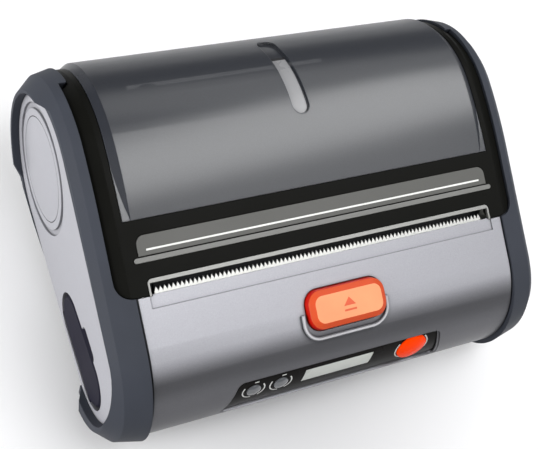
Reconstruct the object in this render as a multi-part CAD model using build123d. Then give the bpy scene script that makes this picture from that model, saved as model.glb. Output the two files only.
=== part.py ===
"""Portable receipt printer with a hinged roll cover, in millimetres.

X runs to the printer's right, Y to its back and Z up. The origin is the middle of the
footprint, on the surface that the printer stands on. Side outlines are drawn in the
YZ plane and run along X, because the housing is one profile between two rubber bumpers.
"""
import os
from math import acos, asin, atan2, ceil, cos, degrees, hypot, pi, radians, sin, sqrt, tan

from build123d import *

os.makedirs("parts", exist_ok=True)

# Overall form
paper_width = 112.4
side_room = 7.8
body_half_width = paper_width / 2 + side_room
cover_half_width = body_half_width + 5.0
cover_rear_half_width = body_half_width + 2.6
bumper_edge_half_width = body_half_width + 8.0
bumper_half_width = bumper_edge_half_width + 2.4
guard_half_width = bumper_half_width + 2.0
underside_z = 2.2
band_angle = 19.5
band_front_y = -24.0
band_front_z = 50.7
roll_axis = (24.9, 32.4)
nose_axis = (-29.3, 20.5)
cover_back_radius = 32.1
window_back_radius = 33.6

# Walls and clearances
housing_wall = 2.2
cover_wall = 2.2
side_wall = 2.4
shell_gap = 0.2
running_gap = 0.05
part_gap = 0.3
side_wall_inner = body_half_width + shell_gap
overlap = 1.0
far = 90.0

# Distances up the sloping band, from the cover's front edge
slot_back_t = 3.4
slot_front_t = 0.1
strip_top_t = 4.6
trim_bar_t = 10.2
label_low_t = 11.3
label_high_t = 17.2
window_front_t = 21.7
slot_half_width = body_half_width - 5.0
label_half_width = slot_half_width + 1.6
trim_bar_half_width = body_half_width - 1.8
window_half_width = body_half_width - 0.8

# Print line
platen_axis = (-17.0, 42.0)
platen_radius = 5.0
platen_shaft_radius = 2.5
gear_module = 0.6
platen_teeth = 20
idler_teeth = 24
motor_teeth = 12
gear_width = 2.8
frame_side_inner = paper_width / 2 + 3.0
frame_sheet = 1.2

# Cover hinge
hinge_pin_radius = 1.5
knuckle_radius = 3.3
hinge_angle = 103.0
cover_knuckle_outer = body_half_width - 12.0
cover_knuckle_inner = cover_knuckle_outer - 14.0
cover_skirt = 7.0

# Roll chamber and paper guides
chamber_radius = 28.0
chamber_wall = 1.6
guide_rest_x = 36.0
guide_plate = 1.8
guide_plate_radius = 24.0
hub_radius = 9.0
guide_pinion_teeth = 10
guide_pinion_y = 2.5
rack_height = 2.4
rack_lift = 0.4

# Battery
battery_size = (74.4, 39.2, 19.0)
battery_y = -25.6

# Controls
open_button_angle = -20.5
open_button_x = 0.8
open_button_size = (27.1, 12.5)
open_button_height = 3.0
open_button_travel = 2.0
key_angle = -71.5
key_radius = 2.4
mode_key_x = -30.1
feed_key_x = -20.8
power_key_x = 26.9
power_key_radius = 5.3
key_travel = 0.5
panel_top_angle = -58.6
panel_low_angle = -95.0
panel_half_width = 40.4
panel_slant = 4.4
panel_end = 0.8
panel_ledge = 0.6
panel_depth = 0.9
panel_sheet = 0.9

band_along = (cos(radians(band_angle)), sin(radians(band_angle)))
band_out = (-sin(radians(band_angle)), cos(radians(band_angle)))
written = []


def on_band(along, depth=0.0):
    """A point of the side view, along the sloping band and below its surface."""
    y = band_front_y + along * band_along[0] - depth * band_out[0]
    z = band_front_z + along * band_along[1] - depth * band_out[1]
    return (y, z)


def polar(centre, radius, angle):
    """A point of the side view about a centre; 0 degrees is up and 90 is back."""
    return (centre[0] + radius * sin(radians(angle)), centre[1] + radius * cos(radians(angle)))


def arc(centre, radius, start, end):
    return ThreePointArc(
        polar(centre, radius, start),
        polar(centre, radius, (start + end) / 2),
        polar(centre, radius, end),
    )


def ring(points):
    """A flat face inside straight lines through the points."""
    return make_face(Polyline(*points, close=True))


def block(y, z):
    """A rectangle of the side view, from its lowest and highest Y and Z."""
    return ring([(y[0], z[0]), (y[1], z[0]), (y[1], z[1]), (y[0], z[1])])


def bar(face, low, high, taper=0.0):
    """Run a side-view face along X, from low to high."""
    return Pos(low, 0, 0) * extrude(Plane.YZ * face, amount=high - low, taper=taper)


def across(face, half_width):
    """Run a side-view face along X, the same way to both sides of the middle."""
    return bar(face, -half_width, half_width)


def disc(centre, radius):
    return Pos(centre[0], centre[1]) * Circle(radius)


def box(x, y, z):
    """A box from its lowest and highest X, Y and Z."""
    size = (x[1] - x[0], y[1] - y[0], z[1] - z[0])
    return Pos((x[0] + x[1]) / 2, (y[0] + y[1]) / 2, (z[0] + z[1]) / 2) * Box(*size)


def upright(radius, x, y, low, high):
    """A cylinder along Z."""
    return Pos(x, y, low) * extrude(Circle(radius), amount=high - low)


def mirrored(part):
    return mirror(part, about=Plane.YZ)


def both(part):
    """The part and its mirror image, as two solids."""
    return Part() + [part, mirrored(part)]


def write(name, part):
    part.label = name
    written.append(name)
    export_step(part, f"parts/{name}.step")


# The side outlines

nose_radius = -(
    (nose_axis[0] - band_front_y) * band_out[0] + (nose_axis[1] - band_front_z) * band_out[1]
)
cover_bend_start = on_band(window_front_t)
to_roll = (roll_axis[0] - cover_bend_start[0], roll_axis[1] - cover_bend_start[1])
roll_below_band = -(to_roll[0] * band_out[0] + to_roll[1] * band_out[1])
cover_bend_radius = (hypot(*to_roll) ** 2 - cover_back_radius**2) / (
    2 * (roll_below_band - cover_back_radius)
)
cover_bend_centre = (
    cover_bend_start[0] - cover_bend_radius * band_out[0],
    cover_bend_start[1] - cover_bend_radius * band_out[1],
)
cover_crown_angle = degrees(
    atan2(roll_axis[0] - cover_bend_centre[0], roll_axis[1] - cover_bend_centre[1])
)
window_crown_angle = -8.0


def side_face(inset, underside=None):
    """The whole printer from the side: nose, sloping band, cover, round back and floor."""
    low = underside_z + inset if underside is None else underside
    nose = nose_radius - inset
    back = cover_back_radius - inset
    back_end = 180 - degrees(acos((roll_axis[1] - low) / back))
    nose_end = -180 + degrees(acos((nose_axis[1] - low) / nose))
    edges = [
        Line(polar(nose_axis, nose, -band_angle), on_band(window_front_t, inset)),
        arc(cover_bend_centre, cover_bend_radius - inset, -band_angle, cover_crown_angle),
        arc(roll_axis, back, cover_crown_angle, back_end),
        Line(polar(roll_axis, back, back_end), polar(nose_axis, nose, nose_end)),
        arc(nose_axis, nose, nose_end, -band_angle),
    ]
    return make_face(edges)


def window_face(inset):
    """The smoked window from the side: it stands proud of the cover, most over the roll."""
    front = on_band(window_front_t, inset)
    radius = window_back_radius - inset
    crown = polar(roll_axis, radius, window_crown_angle)
    out = (sin(radians(window_crown_angle)), cos(radians(window_crown_angle)))
    back = (front[0] - crown[0], front[1] - crown[1])
    bend = -(hypot(*back) ** 2) / (2 * (back[0] * out[0] + back[1] * out[1]))
    centre = (crown[0] - bend * out[0], crown[1] - bend * out[1])
    front_angle = degrees(atan2(front[0] - centre[0], front[1] - centre[1]))
    rear = polar(roll_axis, radius, window_rear_angle + 20)
    edges = [
        arc(centre, bend, front_angle, window_crown_angle),
        arc(roll_axis, radius, window_crown_angle, window_rear_angle + 20),
        Line(rear, (front[0], rear[1])),
        Line((front[0], rear[1]), front),
    ]
    return make_face(edges)


def wedge(centre, start, end, reach=90.0):
    """A sector of the side view between two angles about a centre."""
    steps = max(2, ceil(abs(end - start) / 60))
    rim = [polar(centre, reach, start + (end - start) * i / steps) for i in range(steps + 1)]
    return ring([centre] + rim)


def band_plane(along=0.0, depth=0.0):
    """The plane of the sloping band: local X is X and local Y runs up the band."""
    y, z = on_band(along, depth)
    return Plane(origin=(0, y, z), x_dir=(1, 0, 0), z_dir=(0, band_out[0], band_out[1]))


def nose_plane(angle, x=0.0, depth=0.0):
    """A plane on the nose, facing out: local X is X and local Y runs up the nose."""
    y, z = polar(nose_axis, nose_radius - depth, angle)
    out = (sin(radians(angle)), cos(radians(angle)))
    return Plane(origin=(x, y, z), x_dir=(1, 0, 0), z_dir=(0, out[0], out[1]))


window_rear_angle = 90.0
hinge_axis = polar(roll_axis, cover_back_radius - knuckle_radius - 0.2, hinge_angle)

# The bumpers: a tapering ring on each side, with thicker guards at the corners

bumper_proud = 0.5
bumper_fall = 1.9
guard_proud = 1.2
bumper_skin = 3.2
edge_fall = 2.2
front_guard_toward = -115.0
back_guard_toward = 100.0
foot_height = 4.0
foot_ramp = 2.5
foot_inner = body_half_width + 1.0
foot_outer = body_half_width + 7.0
front_foot_rear_y = -34.0
back_foot_y = (20.0, 34.0)
notch_angle = 32.0
plate_back_radius = 26.3
plate_front_axis = (-31.5, 23.5)
plate_front_radius = 19.3
plate_face_x = bumper_half_width - 0.4
plate_thickness = 2.6
plate_seat = 2.0
edge_width = bumper_half_width - bumper_edge_half_width
periphery_taper = degrees(atan2(bumper_fall, bumper_edge_half_width - body_half_width))
edge_taper = degrees(atan2(edge_fall, edge_width))


def plate_outline(grow=0.0):
    """The side plate from the side: two circles and their common tangents."""
    big = plate_back_radius + grow
    small = plate_front_radius + grow
    span = (plate_front_axis[0] - roll_axis[0], plate_front_axis[1] - roll_axis[1])
    lean = degrees(atan2(span[0], span[1]))
    open_angle = degrees(acos((big - small) / hypot(*span)))
    upper = lean + open_angle
    lower = lean - open_angle
    edges = [
        arc(roll_axis, big, upper, lower + 360),
        Line(polar(roll_axis, big, lower), polar(plate_front_axis, small, lower)),
        arc(plate_front_axis, small, lower, upper),
        Line(polar(plate_front_axis, small, upper), polar(roll_axis, big, upper)),
    ]
    return make_face(edges)


def cover_plan(grow):
    """The cover from above: wide at the front with round corners, narrower past the notch."""
    notch_y = polar(roll_axis, cover_back_radius, notch_angle)[0]
    wide = cover_half_width + grow
    narrow = cover_rear_half_width + grow
    front = band_front_y - grow
    plan = Pos(0, (front + notch_y + grow) / 2) * Rectangle(2 * wide, notch_y + grow - front)
    plan = fillet(plan.vertices().group_by(Axis.Y)[0], cover_corner_radius)
    rear = Pos(0, (front + cover_plan_rear) / 2) * Rectangle(2 * narrow, cover_plan_rear - front - 20)
    return plan + rear


cover_corner_radius = 5.6
cover_plan_rear = 90.0
notch_swing = hypot(
    polar(roll_axis, cover_back_radius, notch_angle)[0] - hinge_axis[0],
    polar(roll_axis, cover_back_radius, notch_angle)[1] - hinge_axis[1],
)
notch_depth = 0.5
cover_rear_angle = hinge_angle - 5.0
cover_heel_angle = 112.0


def cover_zone(grow):
    """The space of the cover's sides: above the line where it meets the lower housing."""
    above = across(side_face(-20) - side_face(cover_skirt + grow), cover_half_width + grow + overlap)
    plan = extrude(Pos(0, 0, -20) * cover_plan(grow), amount=140)
    zone = above & plan
    zone -= across(wedge(roll_axis, cover_rear_angle, 290), guard_half_width)
    return zone


def beyond(point, through, distance):
    """The point that lies past a second point, on the line from the first."""
    reach = distance / hypot(through[0] - point[0], through[1] - point[1])
    return tuple(a + (b - a) * reach for a, b in zip(point, through))


def guard_limit(centre, start, end, x):
    """Where a guard lies at one X: between a slanting line at its start and a straight one."""
    near = polar(centre, plate_back_radius - 0.3, start[0])
    rim = [beyond(near, polar(centre, 33.0, start[1]), far)]
    rim += [polar(centre, far, start[1] + (end - start[1]) * i / 4) for i in (1, 2, 3, 4)]
    return Pos(x, 0, 0) * (Plane.YZ * ring([centre, near] + rim))


def corner_guard(centre, radius, toward, skin_limit, low_limit, high_limit):
    """A thick corner: round about a centre a little outside the bumper's, with ramped ends."""
    axis = polar(centre, guard_proud, toward)
    rim = radius + bumper_proud
    skin = bar(disc(axis, rim), body_half_width, bumper_edge_half_width, periphery_taper)
    edge = bar(disc(axis, rim - bumper_fall), bumper_edge_half_width, guard_half_width, edge_taper)
    zone = bar(wedge(centre, *skin_limit), 0, bumper_half_width)
    low = guard_limit(centre, *low_limit, plate_face_x)
    high = guard_limit(centre, *high_limit, guard_half_width)
    ramped = loft([low, high], ruled=True)
    return ((skin + edge) & zone) + (edge & ramped)


def foot(rear_y, front_y):
    """A flat foot under the bumper, with sloping ends."""
    outline = ring([
        (front_y, 0),
        (rear_y, 0),
        (rear_y + foot_ramp, foot_height),
        (front_y - foot_ramp, foot_height),
    ])
    return bar(outline, foot_inner, foot_outer)


def bumper():
    """The right bumper."""
    body = bar(side_face(-bumper_proud), body_half_width, bumper_edge_half_width, periphery_taper)
    body += bar(side_face(bumper_fall - bumper_proud), bumper_edge_half_width, bumper_half_width, edge_taper)
    body += corner_guard(
        roll_axis,
        cover_back_radius,
        back_guard_toward,
        (-5.0, 155.0),
        ((28.0, 4.0), 154.0),
        ((36.0, 14.0), 143.0),
    )
    body += corner_guard(
        nose_axis,
        nose_radius,
        front_guard_toward,
        (-15.0, -166.0),
        ((-32.0, -32.0), -165.0),
        ((-49.0, -49.0), -150.0),
    )
    body += foot(front_foot_rear_y, nose_axis[0] - 16.0)
    body += foot(back_foot_y[1], back_foot_y[0])
    body -= box((0, far), (-far, far), (-20, 0))
    body -= bar(side_face(bumper_skin), 0, side_wall_inner + side_wall + shell_gap)
    body -= bar(plate_outline(shell_gap), plate_face_x - plate_thickness - 0.1, far)
    body -= bar(plate_outline(-plate_seat), 0, far)
    body -= cover_zone(part_gap)
    swing = disc(hinge_axis, 60) - disc(hinge_axis, notch_swing - notch_depth)
    above_hinge = swing & block((hinge_axis[0] - 25, far), (hinge_axis[1] + 10, far))
    body -= bar(above_hinge, 0, cover_half_width + part_gap)
    rear_gap = bar(wedge(roll_axis, notch_angle, cover_heel_angle), 0, cover_rear_half_width + part_gap)
    body -= rear_gap - bar(disc(roll_axis, chamber_radius), 0, far)
    return body


def side_plate():
    """The right side plate, with the groove and seat of its round cap."""
    plate = bar(plate_outline(), plate_face_x - plate_thickness, plate_face_x)
    groove = disc(cap_axis, cap_groove_radii[1]) - disc(cap_axis, cap_groove_radii[0])
    plate -= bar(groove, plate_face_x - 0.7, plate_face_x + 1)
    plate -= bar(disc(cap_axis, cap_radius + shell_gap), plate_face_x - cap_seat_depth, plate_face_x + 1)
    return plate


cap_axis = (28.2, 32.5)
cap_groove_radii = (18.8, 20.7)
cap_radius = 16.3
cap_seat_depth = 1.4
cap_crown = 1.0


def round_cap():
    """The domed round cap of the right side plate."""
    dome_radius = (cap_radius**2 + cap_crown**2) / (2 * cap_crown)
    base = plate_face_x - cap_seat_depth
    cap = bar(disc(cap_axis, cap_radius), base, plate_face_x + cap_crown)
    dome = Pos(plate_face_x + cap_crown - dome_radius, cap_axis[0], cap_axis[1]) * Sphere(dome_radius)
    return cap & dome


# The port flap on the left side

flap_front = ((-35.3, 16.0), 9.0)
flap_rear = ((-15.3, 14.8), 8.2)
flap_thickness = 1.8
flap_gap = 0.5
flap_axis = (0.6 - plate_face_x, 7.6)
flap_bevel = 1.2
flap_pin_radius = 0.4
flap_pin_y = (-40.0, -9.6)
flap_notch = ((-32.5, -21.5), (20.0, 27.4))


def flap_outline(grow=0.0):
    front = disc(flap_front[0], flap_front[1] + grow)
    rear = disc(flap_rear[0], flap_rear[1] + grow)
    return make_hull(front.edges() + rear.edges())


def left_side_plate():
    plate = mirrored(side_plate())
    low = -plate_face_x - 1
    plate -= bar(flap_outline(flap_gap), low, -body_half_width)
    plate -= flap_pin(running_gap)
    notch = bar(block(*flap_notch), low, -plate_face_x + 1.5)
    notch = fillet(notch.edges().filter_by(Axis.X), 2.0)
    return plate - notch


def flap_pin(grow=0.0):
    """The flap's hinge pin, along Y."""
    start = Plane(origin=(flap_axis[0], flap_pin_y[0] - grow, flap_axis[1]), x_dir=(1, 0, 0), z_dir=(0, 1, 0))
    return extrude(start * Circle(flap_pin_radius + grow), amount=flap_pin_y[1] - flap_pin_y[0] + 2 * grow)


def port_flap():
    body = bar(flap_outline(), -plate_face_x + flap_bevel, -plate_face_x + flap_thickness)
    body += mirrored(bar(flap_outline(), plate_face_x - flap_bevel, plate_face_x, 45.0))
    rib_line = flap_outline(-2.5) - flap_outline(-3.7)
    rib = bar(rib_line, -plate_face_x + 1, -plate_face_x + flap_thickness + 0.4)
    return body + rib + flap_pin()


# The lower housing

cavity_floor = underside_z + 2.0
bay_gap = 0.4
bay_wall = 1.5
motor_length = 19.0
battery_x = frame_side_inner - motor_length - 1.1 - bay_wall - bay_gap - battery_size[0] / 2
bay_x = (battery_x - battery_size[0] / 2 - bay_gap, battery_x + battery_size[0] / 2 + bay_gap)
bay_y = (battery_y - battery_size[1] / 2 - bay_gap, battery_y + battery_size[1] / 2 + bay_gap)
bay_top = underside_z + battery_size[2] + bay_gap
board_z = bay_top + bay_wall + 1.9
frame_floor = 28.0
boss_left = bay_x[0] - bay_wall - 8.4
boss_right = frame_side_inner - 11.7
boss_points = [(boss_left, -36.0), (boss_right, -36.0), (boss_left, -9.0), (boss_right, -9.0)]
boss_radius = 3.0
screw_radius = 1.2
split_z = 10.0
rack_z = cavity_floor + rack_lift
guide_slot_y = (-0.5, 3.5)
guide_slot_x = (11.0, side_wall_inner - 1.6)
latch_slot = ((battery_x + 15.5, battery_x + 34.5), (bay_y[1] + bay_wall - 2.2, 2.2))
port_hole = ((-side_wall_inner - 10, 4.0 - body_half_width), (-40.0, -10.0), (11.6, 24.0))
knuckle_gap = 0.3
standoffs = [(battery_x + side * 30.0, y) for y in (-38.0, -12.0) for side in (-1, 1)]


def shell_profile():
    """The housing's outer profile along X, with a fine chamfer at both ends."""
    half = body_half_width - shell_gap
    end = bar(side_face(0), half - end_chamfer, half, 45.0)
    return across(side_face(0), half - end_chamfer) + [end, mirrored(end)]


end_chamfer = 0.5


def lower_housing():
    body = shell_profile()
    body += across(side_face(bumper_skin + shell_gap), side_wall_inner + side_wall)
    partition = disc(roll_axis, chamber_radius + chamber_wall)
    front = (side_face(housing_wall) & block((-far, roll_axis[0]), (-20, far))) - partition
    body -= across(front, side_wall_inner)
    body -= across(block((-far, roll_axis[0]), (split_z, far)) - partition, side_wall_inner)
    body -= across(block((-far, roll_axis[0] - 5), (33.0, far)), side_wall_inner)
    body -= across(disc(roll_axis, chamber_radius), side_wall_inner)
    body -= across(block((roll_axis[0] - 6, far), (roll_axis[1], far)), side_wall_inner)
    rear_top = hinge_axis[1] - knuckle_radius - 1.2
    body -= across(block((roll_axis[0], far), (rear_top, far)), side_wall_inner)
    knuckle = disc(hinge_axis, knuckle_radius)
    knuckle += block((hinge_axis[0] - 1.6, hinge_axis[0] + 1.1), (rear_top - 4, hinge_axis[1]))
    knuckle_bar = bar(knuckle, cover_knuckle_outer + knuckle_gap, body_half_width - shell_gap)
    body += [knuckle_bar, mirrored(knuckle_bar)]
    body -= across(disc(hinge_axis, knuckle_radius + 1.2), cover_knuckle_outer + knuckle_gap)
    body -= across(disc(hinge_axis, hinge_pin_radius), side_wall_inner - 0.4)
    body -= cover_zone(part_gap)
    # The battery bay, open below
    bay_outer = ((bay_x[0] - bay_wall, bay_x[1] + bay_wall), (bay_y[0] - bay_wall, bay_y[1] + bay_wall))
    body += box(*bay_outer, (cavity_floor - 0.5, bay_top + bay_wall))
    body -= box(bay_x, bay_y, (-1, bay_top))
    for x, y in standoffs:
        body += upright(2.0, x, y, bay_top + 0.5, board_z)
    for x, y in boss_points:
        body += upright(boss_radius, x, y, cavity_floor - 0.5, frame_floor)
        body -= upright(screw_radius + 0.1, x, y, -1, frame_floor + 1)
        body -= upright(2.5, x, y, -1, underside_z + 1.6)
    # The guides' slots, the pinion's pin, the latch pocket and the port hole
    for side in (-1, 1):
        low, high = sorted((side * guide_slot_x[0], side * guide_slot_x[1]))
        body -= box((low, high), guide_slot_y, (rack_z + rack_height, 26.0))
    body += upright(1.2, 0, guide_pinion_y, cavity_floor - 0.5, rack_z + rack_height + 0.3)
    body -= box(latch_slot[0], latch_slot[1], (-1, cavity_floor - 0.4))
    body -= box(*port_hole)
    return body


# The front housing

lip_depth = 0.35
lip_low_t = -3.9
u_rib_height = 0.8
u_rib_width = 1.2
u_half_width = 15.3
u_low = 9.5
u_x = 0.4


def open_button_outline(grow=0.0):
    return RectangleRounded(open_button_size[0] + 2 * grow, open_button_size[1] + 2 * grow, 4.6 + grow)


def open_button_plane(depth=0.0):
    return nose_plane(open_button_angle, open_button_x, depth)


def panel_face(shrink=0.0):
    """The control panel's outline seen from the front, as X and Z."""
    top = nose_axis[1] + nose_radius * cos(radians(panel_top_angle)) - shrink
    low = nose_axis[1] + nose_radius * cos(radians(panel_low_angle)) + shrink
    wide = panel_half_width - shrink
    face = ring([(-wide, low), (wide, low), (wide - panel_slant, top), (-wide + panel_slant, top)])
    return fillet(face.vertices(), 2.6)


def panel_prism(shrink=0.0):
    return extrude(Plane.XZ * panel_face(shrink), amount=nose_radius - nose_axis[0] + 20)


def nose_layer(outer, inner, half_width):
    """The nose's skin between two depths."""
    layer = disc(nose_axis, nose_radius - outer) - disc(nose_axis, nose_radius - inner)
    return across(layer & block((-far, nose_axis[0]), (-20, far)), half_width)


def front_housing():
    body = shell_profile()
    body -= across(side_face(housing_wall), body_half_width + overlap)
    y, z = on_band(slot_front_t)
    back = Plane(origin=(0, y, z), x_dir=(1, 0, 0), z_dir=(0, band_along[0], band_along[1]))
    body -= extrude(back * Rectangle(200, 300), amount=200)
    ends = Rectangle(200, 300) - Rectangle(2 * slot_half_width - 2 * part_gap, 300)
    beside_slot = Plane(origin=(0, *on_band(-part_gap)), x_dir=(1, 0, 0), z_dir=back.z_dir)
    body -= extrude(beside_slot * ends, amount=200)
    body -= box((-far, far), (-far, far), (-20, split_z + shell_gap))
    body -= box((-far, far), (nose_axis[0] + 12, far), (-20, 40))
    lip = band_plane() * Pos(0, (lip_low_t + 2) / 2) * Rectangle(2 * slot_half_width + 1.4, 2 - lip_low_t)
    body -= extrude(lip, amount=-lip_depth) + extrude(lip, amount=2)
    # The open button's rib, pocket and hole
    inner = (2 * (u_half_width - u_rib_width), 2 * (u_low - u_rib_width))
    rib = RectangleRounded(2 * u_half_width, 2 * u_low, 6.2) - RectangleRounded(*inner, 5.0)
    rib -= Pos(0, u_low - 0.6) * Rectangle(3 * u_half_width, 2 * u_low)
    rib_bar = extrude(nose_plane(open_button_angle, u_x, 8.0) * rib, amount=14)
    body += rib_bar & across(side_face(-u_rib_height) - side_face(housing_wall / 2), body_half_width - 5)
    body -= extrude(open_button_plane(20.0) * open_button_outline(part_gap), amount=40)
    # The control panel's recess: a ledge round its opening and a shallow ramp at the right end
    back_depth = panel_depth + panel_sheet
    body += panel_prism(-1.0) & nose_layer(housing_wall / 2, back_depth + 0.9, body_half_width)
    plate_zone = panel_prism() & Pos(-panel_end, 0, 0) * panel_prism()
    body -= plate_zone & nose_layer(-1, back_depth, body_half_width)
    body -= panel_prism() & end_ramp()
    return body - (panel_prism(panel_ledge) & Pos(-panel_end, 0, 0) * panel_prism(panel_ledge))


def end_ramp():
    """The turned ramp that leads from the panel plate up to the nose's surface."""
    start = panel_half_width - panel_slant - panel_end - 1.0
    floor = nose_radius - panel_depth
    end = panel_half_width
    profile = [(start, floor), (end, nose_radius), (end, nose_radius + 2), (start, nose_radius + 2)]
    turned = revolve(Plane.XY * ring(profile), axis=Axis.X)
    return Pos(0, nose_axis[0], nose_axis[1]) * turned


def control_panel():
    """The glossy panel plate, let into the nose."""
    plate = panel_prism(shell_gap) & nose_layer(panel_depth, panel_depth + panel_sheet, body_half_width)
    plate = plate & Pos(-panel_end, 0, 0) * panel_prism(shell_gap)
    for x, radius in keys:
        hole = nose_plane(key_angle, x, 8.0) * Circle(radius + 0.15)
        plate -= extrude(hole, amount=16)
    return plate - display_prism(0.1)


keys = [(mode_key_x, key_radius), (feed_key_x, key_radius), (power_key_x, power_key_radius)]
display_x = (-12.7, 11.6)
display_angles = (-65.6, -77.5)


def display_prism(grow=0.0):
    """The display's opening: a slanting window, cut along the nose's own direction."""
    middle = (display_angles[0] + display_angles[1]) / 2
    height = nose_radius * radians(display_angles[0] - display_angles[1]) + 2 * grow
    width = display_x[1] - display_x[0] + 2 * grow
    slant = 0.3
    face = ring([
        (-width / 2 - slant, -height / 2),
        (width / 2 - slant, -height / 2),
        (width / 2 + slant, height / 2),
        (-width / 2 + slant, height / 2),
    ])
    centre = (display_x[0] + display_x[1]) / 2
    return extrude(nose_plane(middle, centre, 6.0) * face, amount=12)


def display_window():
    return display_prism() & nose_layer(panel_depth, panel_depth + panel_sheet, body_half_width)


def panel_key(x, radius):
    """A domed key: cap through the panel, a flange behind it and a stem to its switch."""
    rise = small_key_rise if radius < 4 else power_key_rise
    flange_depth = key_flange_depth(radius)
    top = flange_depth + 0.8 - panel_depth + rise
    edge = top - 0.75 * rise
    dome_radius = (radius**2 + (top - edge) ** 2) / (2 * (top - edge))
    lean = asin(radius / dome_radius) / 2
    shoulder = (dome_radius * sin(lean), top - dome_radius * (1 - cos(lean)))
    outline = Polyline(
        (0, top), (0, -key_stem), (1.0, -key_stem), (1.0, 0), (radius + key_flange, 0),
        (radius + key_flange, 0.8), (radius, 0.8), (radius, edge),
    )
    profile = make_face([outline, ThreePointArc((radius, edge), shoulder, (0, top))])
    turned = revolve(Plane.XZ * profile, axis=Axis.Z)
    return nose_plane(key_angle, x, flange_depth + 0.8).location * turned


small_key_rise = 0.9
power_key_rise = 1.3
key_stem = 1.2
key_flange = 0.5


def key_flange_depth(radius):
    """How deep a flat flange lies under the curved panel plate."""
    sag = (radius + key_flange) ** 2 / (2 * (nose_radius - panel_depth - panel_sheet))
    return panel_depth + panel_sheet + sag + 0.15


# The cover


def cover_frame():
    """The black cover: side bands, front band, crown rails and rear bar with knuckles."""
    flank = bar(side_face(0), flank_start, cover_half_width, flank_taper)
    body = across(side_face(0), flank_start) + [flank, mirrored(flank)]
    inner = across(side_face(cover_wall), cover_half_width - cover_wall)
    body = (body - inner) - across(side_face(cover_skirt), cover_half_width + overlap)
    body = body & extrude(Pos(0, 0, -20) * cover_plan(0.0), amount=140)
    body -= across(wedge(roll_axis, cover_rear_angle, 290), cover_half_width + overlap)
    # Under the notch the side ends on a curve about the hinge, to swing clear of the bumper
    under = disc(hinge_axis, notch_swing - notch_depth + part_gap)
    side = bar(under & wedge(roll_axis, -10, 120), cover_rear_half_width, cover_half_width + overlap)
    body -= [side, mirrored(side)]
    y, z = on_band(slot_back_t)
    slot = Plane(origin=(0, y, z), x_dir=(1, 0, 0), z_dir=(0, -band_along[0], -band_along[1]))
    body -= extrude(slot * Rectangle(2 * slot_half_width, 40), amount=20)
    # The window's opening and the ledge that it lies on
    ahead = on_band(window_front_t)
    front = Plane(origin=(0, *ahead), x_dir=(1, 0, 0), z_dir=(0, band_along[0], band_along[1]))
    past_front = extrude(front * Rectangle(2 * window_half_width + 2 * shell_gap, 200), amount=200)
    opening = past_front & across(wedge(roll_axis, -80, window_rear_angle), window_half_width + shell_gap)
    body -= opening - across(window_face(window_wall + 0.05), window_half_width + overlap)
    inner_front = Plane(origin=(0, *on_band(window_front_t + ledge)), x_dir=(1, 0, 0), z_dir=front.z_dir)
    clear = extrude(inner_front * Rectangle(2 * (window_half_width - ledge), 200), amount=200)
    body -= clear & across(wedge(roll_axis, -80, window_rear_angle - 4), window_half_width)
    # Let-in places of the label panel, trim bar and edge strip
    body -= extrude(label_shape(0.1), amount=-inlay_depth)
    body -= extrude(trim_shape(0.1), amount=-inlay_depth)
    body -= extrude(strip_shape(0.1), amount=-strip_depth)
    # Knuckles on the rear bar, and room for the housing's own
    root = (side_face(0) - side_face(cover_wall)) & wedge(roll_axis, cover_rear_angle - 4, hinge_angle)
    rear_bar = bar(disc(hinge_axis, knuckle_radius) + root, cover_knuckle_inner, cover_knuckle_outer)
    body += [rear_bar, mirrored(rear_bar)]
    clear_knuckle = bar(disc(hinge_axis, knuckle_radius + 0.5), cover_knuckle_outer, cover_half_width)
    body -= [clear_knuckle, mirrored(clear_knuckle)]
    body -= across(disc(hinge_axis, hinge_pin_radius + running_gap), cover_half_width)
    return body


flank_start = body_half_width + 1.3
flank_fall = 1.7
flank_taper = degrees(atan2(flank_fall, cover_half_width - flank_start))
ledge = 2.2
window_wall = 2.0
window_bevel_width = 2.4
inlay_depth = 0.7
strip_depth = 1.2
bevel = window_back_radius - cover_back_radius
groove_angles = (-13.0, 44.0)
groove_half_width = 2.9
groove_depth = 1.0


def label_shape(grow=0.0):
    """The label panel's outline on the band: round corners at the top only."""
    low = label_low_t - grow
    high = label_high_t + grow
    width = 2 * (label_half_width + grow)
    shape = Pos(0, (low + high) / 2) * Rectangle(width, high - low)
    shape = fillet(shape.vertices().group_by(Axis.Y)[-1], 2.6)
    return band_plane() * shape


def trim_shape(grow=0.0):
    half_height = 0.75 + grow
    shape = SlotOverall(2 * (trim_bar_half_width + grow), 2 * half_height)
    return band_plane(trim_bar_t) * shape


def strip_shape(grow=0.0):
    """The bright strip on the cover's edge: along the slot and down its two ends."""
    width = 2 * (slot_half_width + strip_side + grow)
    outer = Pos(0, (strip_top_t + grow - 0.3 - grow) / 2) * Rectangle(width, strip_top_t + 0.3 + 2 * grow)
    outer = fillet(outer.vertices().group_by(Axis.Y)[-1], 1.4)
    inner_top = strip_top_t - strip_width - grow
    inner = Pos(0, inner_top / 2 - 5) * Rectangle(2 * (slot_half_width - grow), inner_top + 10)
    return band_plane() * (outer - inner)


strip_width = 1.2
strip_side = 0.6


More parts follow.
